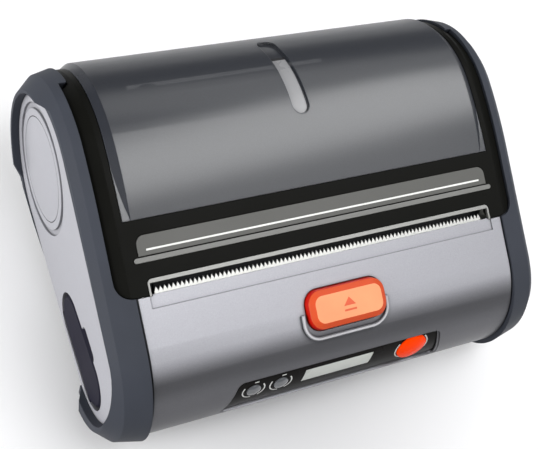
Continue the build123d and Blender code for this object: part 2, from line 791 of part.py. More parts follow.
def window():
    """The smoked window, proud of the cover, with a bevelled side and a grip groove."""
    body = across(side_face(0) & window_region(), window_half_width)
    flat = window_half_width - window_bevel_width
    proud = across(window_face(0), flat)
    side_taper = degrees(atan2(bevel, window_bevel_width))
    side = bar(window_face(0), flat, window_half_width, side_taper)
    body += [proud, side, mirrored(side)]
    body -= across(window_face(window_wall), window_half_width + overlap)
    ahead = on_band(window_front_t + 0.1)
    back = Plane(origin=(0, *ahead), x_dir=(1, 0, 0), z_dir=(0, -band_along[0], -band_along[1]))
    body -= extrude(back * Rectangle(200, 300), amount=200)
    body = body & across(wedge(roll_axis, -80, window_rear_angle - 0.3), window_half_width)
    # The grip groove follows the crown
    middle = (groove_angles[0] + groove_angles[1]) / 2
    half_angle = radians(groove_angles[1] - groove_angles[0]) / 2
    length = 2 * window_back_radius * sin(half_angle)
    y, z = polar(roll_axis, 0, middle)
    out = (sin(radians(middle)), cos(radians(middle)))
    look = Plane(origin=(0, y, z), x_dir=(1, 0, 0), z_dir=(0, out[0], out[1]))
    stadium = extrude(look * (Rot(0, 0, 90) * SlotOverall(length, 2 * groove_half_width)), amount=60)
    layer = disc(roll_axis, window_back_radius + 2) - disc(roll_axis, window_back_radius - groove_depth)
    return body - (stadium & across(layer, groove_half_width + 1))


def window_region():
    """The window's stretch of the side view, from the front ledge to the rear bar."""
    return wedge(roll_axis, -75, window_rear_angle)


def label_panel():
    return extrude(label_shape(), amount=-inlay_depth)


def trim_bar():
    return extrude(trim_shape(), amount=-inlay_depth)


def edge_strip():
    return extrude(strip_shape(), amount=-strip_depth)


liner_depth = 4.6
liner_t = (4.8, 19.0)
ear_x = (paper_width / 2 + 0.4, paper_width / 2 + 1.6)
bushing_x = (ear_x[1] + 0.1, frame_side_inner + frame_sheet + 0.4)
bushing_radius = 3.6
ear_radius = 4.4


def cover_liner():
    """The carrier under the front band, with an ear at each end for the platen."""
    low = on_band(liner_t[0], liner_depth)
    corners = [
        on_band(liner_t[0], cover_wall),
        on_band(liner_t[1], cover_wall),
        on_band(liner_t[1], liner_depth),
        low,
    ]
    face = ring(corners)
    body = across(face, ear_x[1])
    y, z = platen_axis
    ear = make_hull((disc(platen_axis, ear_radius) + block((y - 2, y + 7), (z + 4, z + 6))).edges())
    root = [on_band(12.0, liner_depth - 1), on_band(6.0, liner_depth - 1)]
    ear += ring([(y - 2, z + 3), (y + 7, z + 3)] + root)
    ear_bar = bar(ear, *ear_x)
    body += [ear_bar, mirrored(ear_bar)]
    rib_top = liner_depth - 0.5
    rib = ring([on_band(17, rib_top), on_band(17, 8), on_band(13, 8), on_band(9, rib_top)])
    for x in rib_places:
        body += bar(rib, x, x + 1.2)
    return body - across(disc(platen_axis, platen_shaft_radius + running_gap), far)


rib_places = [-40.0, -0.6, 38.8]


def platen_bushings():
    bushing = disc(platen_axis, bushing_radius) - disc(platen_axis, platen_shaft_radius + running_gap)
    return both(bar(bushing, *bushing_x))


shaft_left_x = -bushing_x[1] - 0.8
gear_x = (bushing_x[1] + 0.2, bushing_x[1] + 0.2 + gear_width)


def platen_shaft():
    return bar(disc(platen_axis, platen_shaft_radius), shaft_left_x, gear_x[1])


def platen_roller():
    rubber = disc(platen_axis, platen_radius) - disc(platen_axis, platen_shaft_radius)
    return across(rubber, paper_width / 2)


# Gears

pressure_angle = radians(20)
gear_backlash = 0.10
gear_gap = 0.04


def gear_face(teeth, bore, turn, module=gear_module):
    """A spur gear's face with involute flanks; turn is the angle of a tooth from +X."""
    pitch = teeth * module / 2
    base = pitch * cos(pressure_angle)
    tip = pitch + module
    root = pitch - 1.25 * module
    half = pi / (2 * teeth) - gear_backlash / (2 * pitch)
    involute = tan(pressure_angle) - pressure_angle

    def flank(radius):
        lean = acos(min(1.0, base / radius))
        return half + involute - (tan(lean) - lean)

    start = max(base, root)
    radii = [root] if root < base - 0.01 else []
    radii += [start + (tip - start) * i / 2 for i in range(3)]
    points = []
    for tooth in range(teeth):
        middle = turn + 2 * pi * tooth / teeth
        rising = [(r, middle - flank(max(r, base))) for r in radii]
        falling = [(r, middle + flank(max(r, base))) for r in reversed(radii)]
        points += [(r * cos(a), r * sin(a)) for r, a in rising + falling]
    face = make_face(Polyline(*points, close=True))
    return face - Circle(bore) if bore else face


def step(start, distance, angle):
    return (start[0] + distance * cos(angle), start[1] + distance * sin(angle))


def mesh_turn(teeth, turn, other_teeth, line):
    """The turn of a gear that meshes with another across the line between their centres."""
    pitch_angle = 2 * pi / teeth
    ahead = (line - turn) % pitch_angle
    arc_share = ahead / pitch_angle
    return line + pi + (arc_share + 0.5) * 2 * pi / other_teeth


lift_away = atan2(platen_axis[1] - hinge_axis[1], platen_axis[0] - hinge_axis[0]) - pi / 2
to_idler = lift_away + pi
idler_axis = step(
    platen_axis, gear_module * (platen_teeth + idler_teeth) / 2 + gear_gap, to_idler
)
to_motor = radians(-108)
motor_axis = step(idler_axis, gear_module * (idler_teeth + motor_teeth) / 2 + gear_gap, to_motor)
platen_turn = to_idler
idler_turn = mesh_turn(platen_teeth, platen_turn, idler_teeth, to_idler)
motor_turn = mesh_turn(idler_teeth, idler_turn, motor_teeth, to_motor)


def gear_bar(axis, teeth, bore, turn):
    return bar(Pos(*axis) * gear_face(teeth, bore, turn), *gear_x)


motor_shaft_radius = 1.0
idler_pin_radius = 1.5
motor_radius = 8.0


def motor_pinion():
    pinion = gear_bar(motor_axis, motor_teeth, 0, motor_turn)
    return pinion + bar(disc(motor_axis, motor_shaft_radius), frame_side_inner - 6, gear_x[0] + 1)


def stepper_motor():
    high = frame_side_inner
    body = bar(disc(motor_axis, motor_radius), high - motor_length, high)
    body += bar(disc(motor_axis, motor_radius + 0.4), high - 3, high - 1)
    low = motor_axis[1] - motor_radius - 1.4
    terminal = block((motor_axis[0] - 4, motor_axis[0] + 4), (low, motor_axis[1]))
    body += bar(terminal, high - motor_length + 4, high - 4)
    return body - bar(disc(motor_axis, motor_shaft_radius + running_gap), high - 7, high + 1)


# The print mechanism

frame_y = (-38.0, -7.0)
frame_top = 46.0
frame_front_y = -31.0
head_face_y = platen_axis[0] - platen_radius - part_gap
head_sheet = 1.0
sink_thickness = 2.5
head_pivot = (-24.5, 32.4)
head_pivot_radius = 1.2
latch_axis = (-28.6, 31.6)
latch_shaft_radius = 1.4


def print_frame():
    """The folded steel chassis that holds the head, the latch, the motor and the platen."""
    low = frame_floor
    side = block(frame_y, (low, frame_top - 6))
    side += ring([(-30.5, low), (-10.0, low), (-10.0, 42.5), (-12.5, 45.0), (-30.5, 44.0)])
    slot = disc(platen_axis, bushing_radius + 0.1)
    along = (cos(lift_away), sin(lift_away))
    over = (-along[1], along[0])
    reach = 9.0
    wide = bushing_radius + 0.1
    flare = 0.5
    y, z = platen_axis
    slot += ring([
        (y - wide * over[0], z - wide * over[1]),
        (y + wide * over[0], z + wide * over[1]),
        (y + reach * along[0] + (wide + flare) * over[0], z + reach * along[1] + (wide + flare) * over[1]),
        (y + reach * along[0] - (wide + flare) * over[0], z + reach * along[1] - (wide + flare) * over[1]),
    ])
    side -= slot
    body = bar(side, frame_side_inner, frame_side_inner + frame_sheet)
    body += mirrored(body)
    body += across(block(frame_y, (low, low + frame_sheet)), frame_side_inner + 0.2)
    wall = block((frame_front_y - frame_sheet, frame_front_y), (low, 44.0))
    body += across(wall, paper_width / 2)
    body -= box((-9, 9), (frame_front_y - 2, frame_front_y + 1), (low + frame_sheet + 0.4, far))
    body -= box((-17, 17), (frame_front_y - 2, frame_front_y + 1), (40.0, far))
    mount = block((motor_axis[0] - 9, motor_axis[0] + 9), (motor_axis[1] - 9, low + 0.5))
    body += bar(mount, frame_side_inner, frame_side_inner + frame_sheet)
    body -= bar(disc(motor_axis, 2.2), frame_side_inner - 9, far)
    body -= across(disc(head_pivot, head_pivot_radius), far)
    body -= across(disc(latch_axis, latch_shaft_radius + running_gap), far)
    body += bar(disc(idler_axis, idler_pin_radius), frame_side_inner + frame_sheet - 0.2, gear_x[1] + 0.2)
    for x, y in boss_points:
        body -= upright(screw_radius + 0.1, x, y, low - 1, low + 3)
    return body


def thermal_head():
    plate = block((head_face_y - head_sheet, head_face_y), (35.0, 46.0))
    body = across(plate, paper_width / 2)
    heater = block((head_face_y - 0.3, head_face_y + 0.15), (platen_axis[1] - 0.8, platen_axis[1] + 0.8))
    cover = block((head_face_y - 0.5, head_face_y + 1.1), (35.6, 37.4))
    return body + across(heater, paper_width / 2 - 2) + across(cover, paper_width / 2 - 8)


def head_heatsink():
    high = head_face_y - head_sheet
    body = across(block((high - sink_thickness, high), (31.0, 45.6)), paper_width / 2)
    lug = bar(disc(head_pivot, 2.0), head_clear_half_width, paper_width / 2)
    body -= across(block((-30, -20), (30, 34.2)), head_clear_half_width)
    body += [lug, mirrored(lug)]
    body -= across(disc(head_pivot, head_pivot_radius + running_gap), far)
    for x in fin_places:
        body -= box((x, x + 2.4), (high - sink_thickness - 1, high - 1.4), (33.6, 50))
    return body


head_clear_half_width = 20.0
spring_places = [-36.0, 36.0]
fin_places = [-50.0 + 8.0 * i for i in range(13)]
spring_z = 42.0


def head_springs():
    """Two short springs that press the head against the platen, as hollow solids."""
    high = head_face_y - head_sheet - sink_thickness - part_gap
    ring_face = Circle(2.2) - Circle(1.7)
    body = Part()
    for x in spring_places:
        plane = Plane(origin=(x, frame_front_y, spring_z), x_dir=(1, 0, 0), z_dir=(0, 1, 0))
        body += extrude(plane * ring_face, amount=high - frame_front_y)
    return body


def head_rod():
    return across(disc(head_pivot, head_pivot_radius), frame_side_inner + frame_sheet)


tooth_pitch = 1.35
blade_half_width = slot_half_width - 1.4
blade_depth = housing_wall + 0.1
blade_sheet = 0.6
blade_base_t = 0.7
blade_tip_t = 2.1
blade_back_t = -5.0


def tear_bar():
    """The tear blade: a steel strip under the slot's edge with a row of teeth."""
    count = int(2 * blade_half_width / tooth_pitch)
    start = -count * tooth_pitch / 2
    points = [(start, blade_back_t), (start, blade_base_t)]
    for tooth in range(count):
        left = start + tooth * tooth_pitch
        points += [(left + 0.5 * tooth_pitch, blade_tip_t), (left + tooth_pitch, blade_base_t)]
    points += [(-start, blade_back_t)]
    return extrude(band_plane(0, blade_depth) * ring(points), amount=-blade_sheet)


hook_x = (ear_x[1] + part_gap, frame_side_inner - 0.2)
latch_pad_y = -43.0
pad_half_width = 5.0


def latch_shaft():
    return across(disc(latch_axis, latch_shaft_radius), frame_side_inner + frame_sheet)


def latch_hooks():
    """The two hooks that hold the platen's bushings; their noses stop short of them."""
    y, z = latch_axis
    py, pz = platen_axis
    arm = disc(latch_axis, 2.2)
    arm += ring([
        (y - 2.4, z),
        (y + 2.4, z + 1),
        (py - 4.4, pz + 0.5),
        (py - 3.6, pz + 3.0),
        (py - 5.4, pz + 4.2),
        (py - 8.4, pz + 2.5),
    ])
    arm -= disc(latch_axis, latch_shaft_radius)
    return both(bar(arm, *hook_x))


def latch_spring():
    """The latch's return spring, wound close on the shaft, as a plain sleeve."""
    coil = disc(latch_axis, 2.3) - disc(latch_axis, latch_shaft_radius)
    return bar(coil, pad_half_width + 0.4, pad_half_width + 8.0)


def latch_arm():
    """The arm that the open button presses, fixed on the latch shaft."""
    y, z = latch_axis
    top = pad_top
    arm = disc(latch_axis, 2.4)
    arm += ring([
        (y, z - 1.2),
        (y, z + 2.4),
        (latch_pad_y + 3, top),
        (latch_pad_y - 1.2, top),
        (latch_pad_y - 1.2, top - 1.4),
        (latch_pad_y + 3, top - 1.6),
    ])
    arm -= disc(latch_axis, latch_shaft_radius)
    return across(arm, pad_half_width)


pad_top = 37.3


def open_button():
    """The open button: a rounded cap with a sloping edge, a skirt and a pushing rib."""
    width, height = open_button_size
    rim_height = open_button_height - 1.1
    cap = extrude(open_button_plane() * open_button_outline(), amount=rim_height, taper=9.0)
    draft = rim_height * tan(radians(9.0))
    rim = open_button_plane(-rim_height) * open_button_outline(-draft)
    body = extrude(rim, amount=1.1, taper=58.0)
    body += cap + extrude(open_button_plane(flange_low) * open_button_outline(), amount=flange_low)
    flange = RectangleRounded(width + 2.0, height + 1.6, 5.4)
    body += extrude(open_button_plane(flange_low) * flange, amount=1.0)
    body -= extrude(open_button_plane(flange_low) * open_button_outline(-1.6), amount=flange_low + 1.2)
    rib = Pos(0, -3.0) * Rectangle(8, 2.0)
    body += extrude(open_button_plane(rib_depth) * rib, amount=rib_depth + 1.5)
    return body


rib_depth = 6.9
flange_low = housing_wall + 2.1


def display_module():
    middle = (display_angles[0] + display_angles[1]) / 2
    plane = nose_plane(middle, (display_x[0] + display_x[1]) / 2, panel_depth + panel_sheet + 0.45)
    return extrude(plane * Rectangle(29.0, 7.2), amount=-1.4)


panel_board_y = (-48.5, -47.4)


def panel_board():
    """The key board behind the panel, with a switch for each key."""
    body = box((-36, 36), panel_board_y, (20.0, 33.5))
    for x, radius in keys:
        base = nose_plane(key_angle, x, key_flange_depth(radius) + 0.8 + key_stem + key_travel + 0.15)
        body += extrude(base * Rectangle(5.0, 4.4), amount=-1.6)
    return body


def main_board():
    left = boss_left + 4.0
    right = frame_side_inner - motor_length - 2.2
    body = box((left, right), (-46.0, -8.0), (board_z, board_z + 1.2))
    body += box((-20, -4), (-34, -20), (board_z + 1.0, board_z + 2.0))
    body += box((6, 14), (-30, -22), (board_z + 1.0, board_z + 1.9))
    body += box((24, 36), (-44, -40), (board_z + 1.0, board_z + 2.1))
    return body


port_board_z = 10.6
port_x = -body_half_width - 6.4
usb_y = -33.0
dc_y = -19.0


def port_board():
    """The board of the two sockets, cut round any screw boss that comes near it."""
    x = (0.4 - body_half_width, 12.8 - body_half_width)
    body = box(x, (-41.0, -9.0), (port_board_z, port_board_z + 1.2))
    for boss_x, boss_y in boss_points:
        body -= upright(boss_radius + part_gap, boss_x, boss_y, port_board_z - 1, port_board_z + 3)
    return body


def usb_socket():
    """A small data socket: a folded steel shell round its tongue."""
    low = port_board_z + 1.2
    shell = box((port_x, port_x + 10.4), (usb_y - 3.9, usb_y + 3.9), (low, low + 3.9))
    shell -= box((port_x - 1, port_x + 9.4), (usb_y - 3.5, usb_y + 3.5), (low + 0.4, low + 3.5))
    return shell + box((port_x + 1.0, port_x + 9.9), (usb_y - 2.6, usb_y + 2.6), (low + 1.4, low + 2.0))


def dc_socket():
    """The charging socket: a round well with a centre pin."""
    low = port_board_z + 1.2
    body = box((port_x, port_x + 13.9), (dc_y - 4.5, dc_y + 4.5), (low, low + 9.2))
    centre = (dc_y, low + 4.8)
    body -= bar(disc(centre, 3.1), port_x - 1, port_x + 9.5)
    return body + bar(disc(centre, 0.9), port_x + 1.0, port_x + 10.0)


def battery_contacts():
    """The battery's contact block, on the front wall of its bay."""
    wall = bay_y[0] - bay_wall
    body = box((battery_x - 9, battery_x + 9), (wall - 2.8, wall), (9.0, 16.4))
    for i in range(4):
        x = battery_x - 6.0 + 4.0 * i
        body += box((x - 0.5, x + 0.5), (wall - 3.4, wall - 2.6), (10.0, 15.0))
    return body


def paper_chute():
    """The smooth guide that leads the paper from the roll to the print line."""
    top = [(-4.6, 32.9), (-20.6, 34.6)]
    face = ring([top[0], top[1], (top[1][0], top[1][1] - 1.2), (-10.0, 31.4), (-4.6, 31.4)])
    body = across(face - disc(roll_axis, chamber_radius + chamber_wall + shell_gap), paper_width / 2)
    foot = block((-12.0, -9.0), (frame_floor + frame_sheet, 32.2))
    feet = bar(foot, 36, 40)
    body += [feet, mirrored(feet)]
    return body - box(sensor_x, sensor_y, (frame_floor - 3, sensor_top + 7))


sensor_x = (7.8, 16.2)
sensor_y = (-14.2, -9.8)
sensor_top = 32.9


def paper_sensor():
    x = (sensor_x[0] + 0.1, sensor_x[1] - 0.1)
    y = (sensor_y[0] + 0.1, sensor_y[1] - 0.1)
    return box(x, y, (frame_floor + frame_sheet, sensor_top))


# Paper guides

rack_module = 0.6
pinion_radius = rack_module * guide_pinion_teeth / 2
rack_reach = 24.0


def rack_points(side, low, high):
    """A rack's outline from above. Side -1 lies in front of the pinion and 1 behind it."""
    pitch = pi * rack_module
    line = guide_pinion_y + side * (pinion_radius + gear_gap)
    tip = line - side * rack_module
    root = line + side * 1.25 * rack_module
    back = line + side * 2.3
    quarter = pitch / 4 - gear_backlash / 2
    lean = tan(pressure_angle) * rack_module
    fall = tan(pressure_angle) * 1.25 * rack_module
    first = ceil(low / pitch - 0.5 + 0.6)
    last = int(high / pitch - 0.5 - 0.6)
    points = [(low, back), (low, root)]
    for tooth in range(first, last + 1):
        middle = (tooth + 0.5) * pitch
        points += [
            (middle - quarter - fall, root),
            (middle - quarter + lean, tip),
            (middle + quarter - lean, tip),
            (middle + quarter + fall, root),
        ]
    return points + [(high, root), (high, back)]


def roll_guide():
    """The right guide: a round plate beside the roll, an arm through the slot and a rack."""
    inner = guide_rest_x
    outer = inner + guide_plate
    plate = disc(roll_axis, guide_plate_radius)
    plate += ring([(0.2, 20.5), (14, 12), (24, 16), (14, 28), (4, 28)])
    plate = plate & disc(roll_axis, chamber_radius - part_gap)
    foot = block((0.2, 2.8), (rack_z + rack_height + 0.2, 21.5))
    body = bar(plate, inner, outer)
    body += bar(foot, inner, outer + 4)
    body -= bar(disc(roll_axis, hub_radius + 2.5), inner - 1, inner + 0.6)
    body -= bar(disc(roll_axis, hub_pin_radius + running_gap), inner - 1, outer + 1)
    low = rack_z + rack_height + 0.2
    line = guide_pinion_y + pinion_radius + gear_gap + 2.3
    body += box((inner, outer + 4), (0.2, line), (low, low + 0.9))
    body += box((inner, outer + 4), (line - 1.5, line), (rack_z, low + 0.5))
    rack = Pos(0, 0, rack_z) * extrude(ring(rack_points(1, -rack_reach, outer + 4)), amount=rack_height)
    body += rack
    return body - tab_box(0.0)


hub_pin_radius = 3.0
tab_y = (17.5, 23.0)


def tab_box(gap):
    low = roll_axis[1] + guide_plate_radius - 5.0
    return box((guide_rest_x + 0.5 - gap, guide_rest_x + guide_plate + 1), tab_y, (low, far))


def left_roll_guide():
    """The left guide: the right one turned half round, so that its rack is in front."""
    inner = guide_rest_x
    outer = inner + guide_plate
    body = mirrored(roll_guide())
    low = rack_z + rack_height + 0.2
    back_line = guide_pinion_y + pinion_radius + gear_gap + 2.3
    body -= box((-outer - 5, rack_reach + 5), (3.0, back_line + 1), (rack_z - 1, low + 1.0))
    line = guide_pinion_y - pinion_radius - gear_gap - 2.3
    body += box((-outer - 4, -inner), (line, 2.8), (low, low + 1.6))
    body += box((-outer - 4, -inner), (line, line + 1.5), (rack_z, low + 0.5))
    points = rack_points(-1, -outer - 4, rack_reach)
    return body + Pos(0, 0, rack_z) * extrude(ring(points), amount=rack_height)


def guide_tab():
    """The bright thumb tab on the right guide."""
    low = roll_axis[1] + guide_plate_radius - 5.0
    inner = guide_rest_x + 0.5
    return box((inner, guide_rest_x + guide_plate + 0.9), tab_y, (low, low + 5.6))


def roll_hub():
    """The turning hub that enters the paper's core, on the right."""
    inner = guide_rest_x
    profile = [
        (0.0, inner - 3.0),
        (5.4, inner - 3.0),
        (6.2, inner - 0.6),
        (hub_radius, inner - 0.4),
        (hub_radius, inner + 0.4),
        (hub_pin_radius, inner + 0.4),
        (hub_pin_radius, inner + guide_plate + 0.4),
        (0.0, inner + guide_plate + 0.4),
    ]
    face = make_face(Polyline(*profile, close=True))
    turned = revolve(Plane.XY * face, axis=Axis.Y)
    return Pos(0, roll_axis[0], roll_axis[1]) * Rot(0, 0, -90) * turned


def guide_pinion():
    turn = pi / 2
    face = gear_face(guide_pinion_teeth, 1.2 + running_gap, turn, rack_module)
    return Pos(0, guide_pinion_y, rack_z) * extrude(face, amount=rack_height)


# Hinge pin, battery and fasteners


def hinge_pin():
    return across(disc(hinge_axis, hinge_pin_radius), side_wall_inner - 0.5)


def battery_pack():
    width, depth, height = battery_size
    low = underside_z
    x = (battery_x - width / 2, battery_x + width / 2)
    body = box(x, (battery_y - depth / 2, battery_y + depth / 2), (low, low + height))
    body = fillet(body.edges().filter_by(Axis.X).group_by(Axis.Z)[-1], 5.0)
    grip_y = (battery_y + depth / 2 - 5.0, battery_y + depth / 2 - 3.2)
    grip = box((battery_x - 12, battery_x + 12), grip_y, (low - 1, low + 0.8))
    for i in range(3):
        body -= Pos(0, -3.0 * i, 0) * grip
    return body


def battery_latch():
    """The sliding catch behind the battery, with three thumb ridges."""
    y0 = bay_y[1] - bay_gap + 0.3
    x = (latch_slot[0][0] + 0.3, latch_slot[0][1] - 0.3)
    body = box(x, (y0, y0 + 4.6), (underside_z + 0.3, cavity_floor - 0.6))
    for i in range(2):
        low = y0 + 1.2 + 1.6 * i
        body += box((x[0] + 4, x[1] - 4), (low, low + 0.7), (underside_z, underside_z + 0.5))
    return body


def frame_screws():
    body = Part()
    for x, y in boss_points:
        body += upright(2.3, x, y, underside_z + 0.1, underside_z + 1.6)
        body += upright(screw_radius, x, y, underside_z + 1.5, frame_floor + frame_sheet + 0.4)
    return body


def cover_screws():
    body = Part()
    outer = ear_x[1] - 7.8
    plane = band_plane(7.0, liner_depth + 1.0)
    for x in (-outer, -20.0, 20.0, outer):
        body += extrude(plane * Pos(x, 0) * Circle(1.8), amount=1.0)
    return body


pieces = {
    "lower_housing": lower_housing,
    "front_housing": front_housing,
    "right_bumper": bumper,
    "left_bumper": lambda: mirrored(bumper()),
    "right_side_plate": side_plate,
    "left_side_plate": left_side_plate,
    "right_round_cap": round_cap,
    "left_round_cap": lambda: mirrored(round_cap()),
    "port_flap": port_flap,
    "control_panel": control_panel,
    "display_window": display_window,
    "display_module": display_module,
    "panel_board": panel_board,
    "main_board": main_board,
    "port_board": port_board,
    "data_socket": usb_socket,
    "charging_socket": dc_socket,
    "battery_contacts": battery_contacts,
    "print_frame": print_frame,
    "thermal_head": thermal_head,
    "head_heatsink": head_heatsink,
    "head_rod": head_rod,
    "head_springs": head_springs,
    "tear_bar": tear_bar,
    "latch_shaft": latch_shaft,
    "latch_hooks": latch_hooks,
    "latch_arm": latch_arm,
    "latch_spring": latch_spring,
    "open_button": open_button,
    "mode_button": lambda: panel_key(mode_key_x, key_radius),
    "feed_button": lambda: panel_key(feed_key_x, key_radius),
    "power_button": lambda: panel_key(power_key_x, power_key_radius),
    "stepper_motor": stepper_motor,
    "motor_pinion": motor_pinion,
    "idler_gear": lambda: gear_bar(idler_axis, idler_teeth, idler_pin_radius + running_gap, idler_turn),
    "right_roll_guide": roll_guide,
    "left_roll_guide": left_roll_guide,
    "right_guide_tab": guide_tab,
    "left_guide_tab": lambda: mirrored(guide_tab()),
    "right_roll_hub": roll_hub,
    "left_roll_hub": lambda: mirrored(roll_hub()),
    "guide_pinion": guide_pinion,
    "paper_chute": paper_chute,
    "paper_sensor": paper_sensor,
    "hinge_pin": hinge_pin,
    "battery_pack": battery_pack,
    "battery_latch": battery_latch,
    "frame_screws": frame_screws,
    "cover_frame": cover_frame,
    "window": window,
    "label_panel": label_panel,
    "trim_bar": trim_bar,
    "edge_strip": edge_strip,
    "cover_liner": cover_liner,
    "cover_screws": cover_screws,
    "platen_bushings": platen_bushings,
    "platen_shaft": platen_shaft,
    "platen_roller": platen_roller,
    "platen_gear": lambda: gear_bar(platen_axis, platen_teeth, platen_shaft_radius, platen_turn),
}

for name, make in pieces.items():
    write(name, make())
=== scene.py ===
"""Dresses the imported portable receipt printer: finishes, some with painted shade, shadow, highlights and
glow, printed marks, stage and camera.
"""
from math import cos, radians, sin, sqrt

import bmesh
import bpy
from bpy.props import FloatProperty, FloatVectorProperty, PointerProperty
from mathutils import Matrix, Quaternion, Vector


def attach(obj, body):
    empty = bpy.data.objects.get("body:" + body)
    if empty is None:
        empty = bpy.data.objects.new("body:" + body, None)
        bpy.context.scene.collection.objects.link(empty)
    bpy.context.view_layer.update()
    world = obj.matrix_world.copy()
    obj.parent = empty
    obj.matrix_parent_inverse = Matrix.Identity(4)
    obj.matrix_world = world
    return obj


bl_info = {
    "name": "Portable Receipt Printer",
    "version": (1, 0, 0),
    "blender": (4, 5, 0),
    "location": "View3D > Sidebar > Printer",
    "description": "Finishes, printed marks and stage for a portable receipt printer",
    "category": "Object",
}

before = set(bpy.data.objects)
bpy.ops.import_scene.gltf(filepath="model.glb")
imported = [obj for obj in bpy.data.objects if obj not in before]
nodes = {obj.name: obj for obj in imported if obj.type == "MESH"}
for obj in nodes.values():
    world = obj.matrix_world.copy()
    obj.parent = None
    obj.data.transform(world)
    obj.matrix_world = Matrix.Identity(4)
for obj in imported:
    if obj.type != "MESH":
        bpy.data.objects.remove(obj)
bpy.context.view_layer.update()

# Outlines and places repeated from the printer's solids, in millimetres and degrees

NOSE_AXIS = (-29.3, 20.5)
NOSE_RADIUS = 26.7
PANEL_DEPTH = 0.9
BAND_FRONT = (-24.0, 50.7)
BAND_ANGLE = 19.5
ROLL_AXIS = (24.9, 32.4)
WINDOW_RADIUS = 33.6
CHAMBER_RADIUS = 29.2
GROOVE_DEPTH = 1.0
KEY_ANGLE = -71.5
SMALL_KEYS_X = (-30.1, -20.8)
POWER_KEY_X = 26.9
OPEN_ANGLE = -20.5
OPEN_X = 0.8
RIB_X = 0.4
RIB_HEIGHT = 0.8
RIB_HALF_WIDTH = 14.7
RIB_LOW = -8.9
RIB_TOP = -0.9
RIB_CORNER = 5.6

# Places of the printed marks and of the painted reflection in the grip groove, in millimetres and degrees

LABEL_LINE_UP = 12.9
REFLECTION_ENDS = (-12.3, 23.4)
TICK_ANGLE = 24.6
SYMBOL_HEIGHT = 3.02

# Starts and sweeps of the broken rings round the keys, in degrees

SMALL_KEY_ARCS = ((150, 115), (-60, 95))
POWER_KEY_ARCS = ((150, 120), (-50, 95))

# Finishes

# Painted light: how much lighter the side plates and caps are painted than the housing, though both wear the
# same paint
PLATE_PAINTED_LIGHT = 1.42
NOISE_SPAN = (0.3, 0.7)

# Camera of the photograph, in metres, degrees and millimetres

CAMERA_PLACE = (-0.15892, -0.11091, 0.34200)
CAMERA_TURN = (24.998, -18.741, -20.260)
FOCAL_LENGTH = 74.89
SENSOR_WIDTH = 36.0


def colour(name, text, value):
    """A colour in the sidebar."""
    return FloatVectorProperty(
        name=name, description=text, default=value, subtype="COLOR", size=3, min=0.0, max=1.0
    )


def length(name, text, value):
    """A length in the sidebar, in metres."""
    return FloatProperty(name=name, description=text, default=value, unit="LENGTH", min=0.0)


def power(name, text, value):
    """A lamp's power in the sidebar, in watts."""
    return FloatProperty(name=name, description=text, default=value, unit="POWER", min=0.0)


class FinishSettings(bpy.types.PropertyGroup):
    """Colours of the printer's finishes."""

    silver: colour("Silver", "Metallic paint of the housing", (0.345, 0.345, 0.372))
    chamber: colour("Chamber", "Bare dark plastic of the roll chamber", (0.045, 0.045, 0.05))
    bumper: colour("Bumper", "Soft rubber of the bumpers", (0.043, 0.048, 0.062))
    flap: colour("Flap", "Soft violet black of the port flap", (0.015, 0.014, 0.026))
    cover: colour("Cover", "Moulded black of the cover", (0.006, 0.006, 0.005))
    window: colour("Window", "Smoked plastic of the window", (0.034, 0.037, 0.046))
    label: colour("Label", "Let-in label panel", (0.080, 0.080, 0.073))
    trim: colour("Trim", "Narrow trim bar", (0.17, 0.17, 0.16))
    open_button: colour("Open button", "Satin orange of the open button", (1.0, 0.36, 0.17))
    # Painted shade: the open button's rim and side colours stand in for the shade on its bevel and sides
    open_rim_shade: colour("Open button rim", "Orange red of its bevelled rim", (0.68, 0.085, 0.025))
    open_sides_shade: colour("Open button sides", "Deeper red of its sides", (0.62, 0.008, 0.001))
    power_button: colour("Power button", "Glossy red of the power key", (1.0, 0.05, 0.0))
    display: colour("Display", "Reflective display", (0.70, 0.72, 0.68))


class MarkSettings(bpy.types.PropertyGroup):
    """Sizes of the printed marks and of the thin pieces of painted highlight."""

    line_width: length("Line width", "White line on the label panel", 0.00055)
    line_half: length("Line half length", "Half the white line's length", 0.058)
    ring_radius: length("Ring radius", "Printed ring round a small key", 0.0037)
    power_ring_radius: length("Power ring radius", "Printed ring round the power key", 0.0059)
    ring_width: length("Ring width", "Width of a printed ring", 0.00045)
    dash_width: length("Dash width", "Width of the dash beside a key", 0.0004)
    # The ink thickness also serves the painted highlight pieces
    ink: length("Ink", "Thickness of a printed mark or lining", 0.00003)
    # Painted highlight along the open button's rib
    rib_highlight_width: length("Rib line width", "Bright line on the open button's rib", 0.0006)
    # Painted reflection in the grip groove
    reflection_half: length("Lining half width", "Bright lining in the grip groove", 0.0024)


class StageSettings(bpy.types.PropertyGroup):
    """Light levels of the stage."""

    top_light: power("Top light", "Power of the lamp above", 4.6)
    side_light: power("Side light", "Power of the lamp on the left", 8.2)
    rear_light: power("Rear light", "Power of the lamp above the back", 1.1)
    back_light: power("Back light", "Power of the low lamp behind", 0.5)
    front_light: power("Front light", "Power of the lamp in front", 1.9)
    ambient: FloatProperty(
        name="Ambient", description="Strength of the world", default=0.14, min=0.0, max=2.0
    )


# Node helpers


def new_material(name):
    """A material with its Principled shader, ready for more nodes."""
    material = bpy.data.materials.new(name)
    material.use_nodes = True
    tree = material.node_tree
    shader = tree.nodes["Principled BSDF"]
    return material, tree, shader


def add(tree, kind, **values):
    """A node with its settings and unlinked input values."""
    node = tree.nodes.new(kind)
    for key, value in values.items():
        if key in node.inputs:
            node.inputs[key].default_value = value
        else:
            setattr(node, key, value)
    return node


def calculate(tree, operation, *values):
    """The result of a Math node on linked values."""
    node = add(tree, "ShaderNodeMath", operation=operation)
    for value, socket in zip(values, node.inputs):
        tree.links.new(value, socket)
    return node.outputs[0]


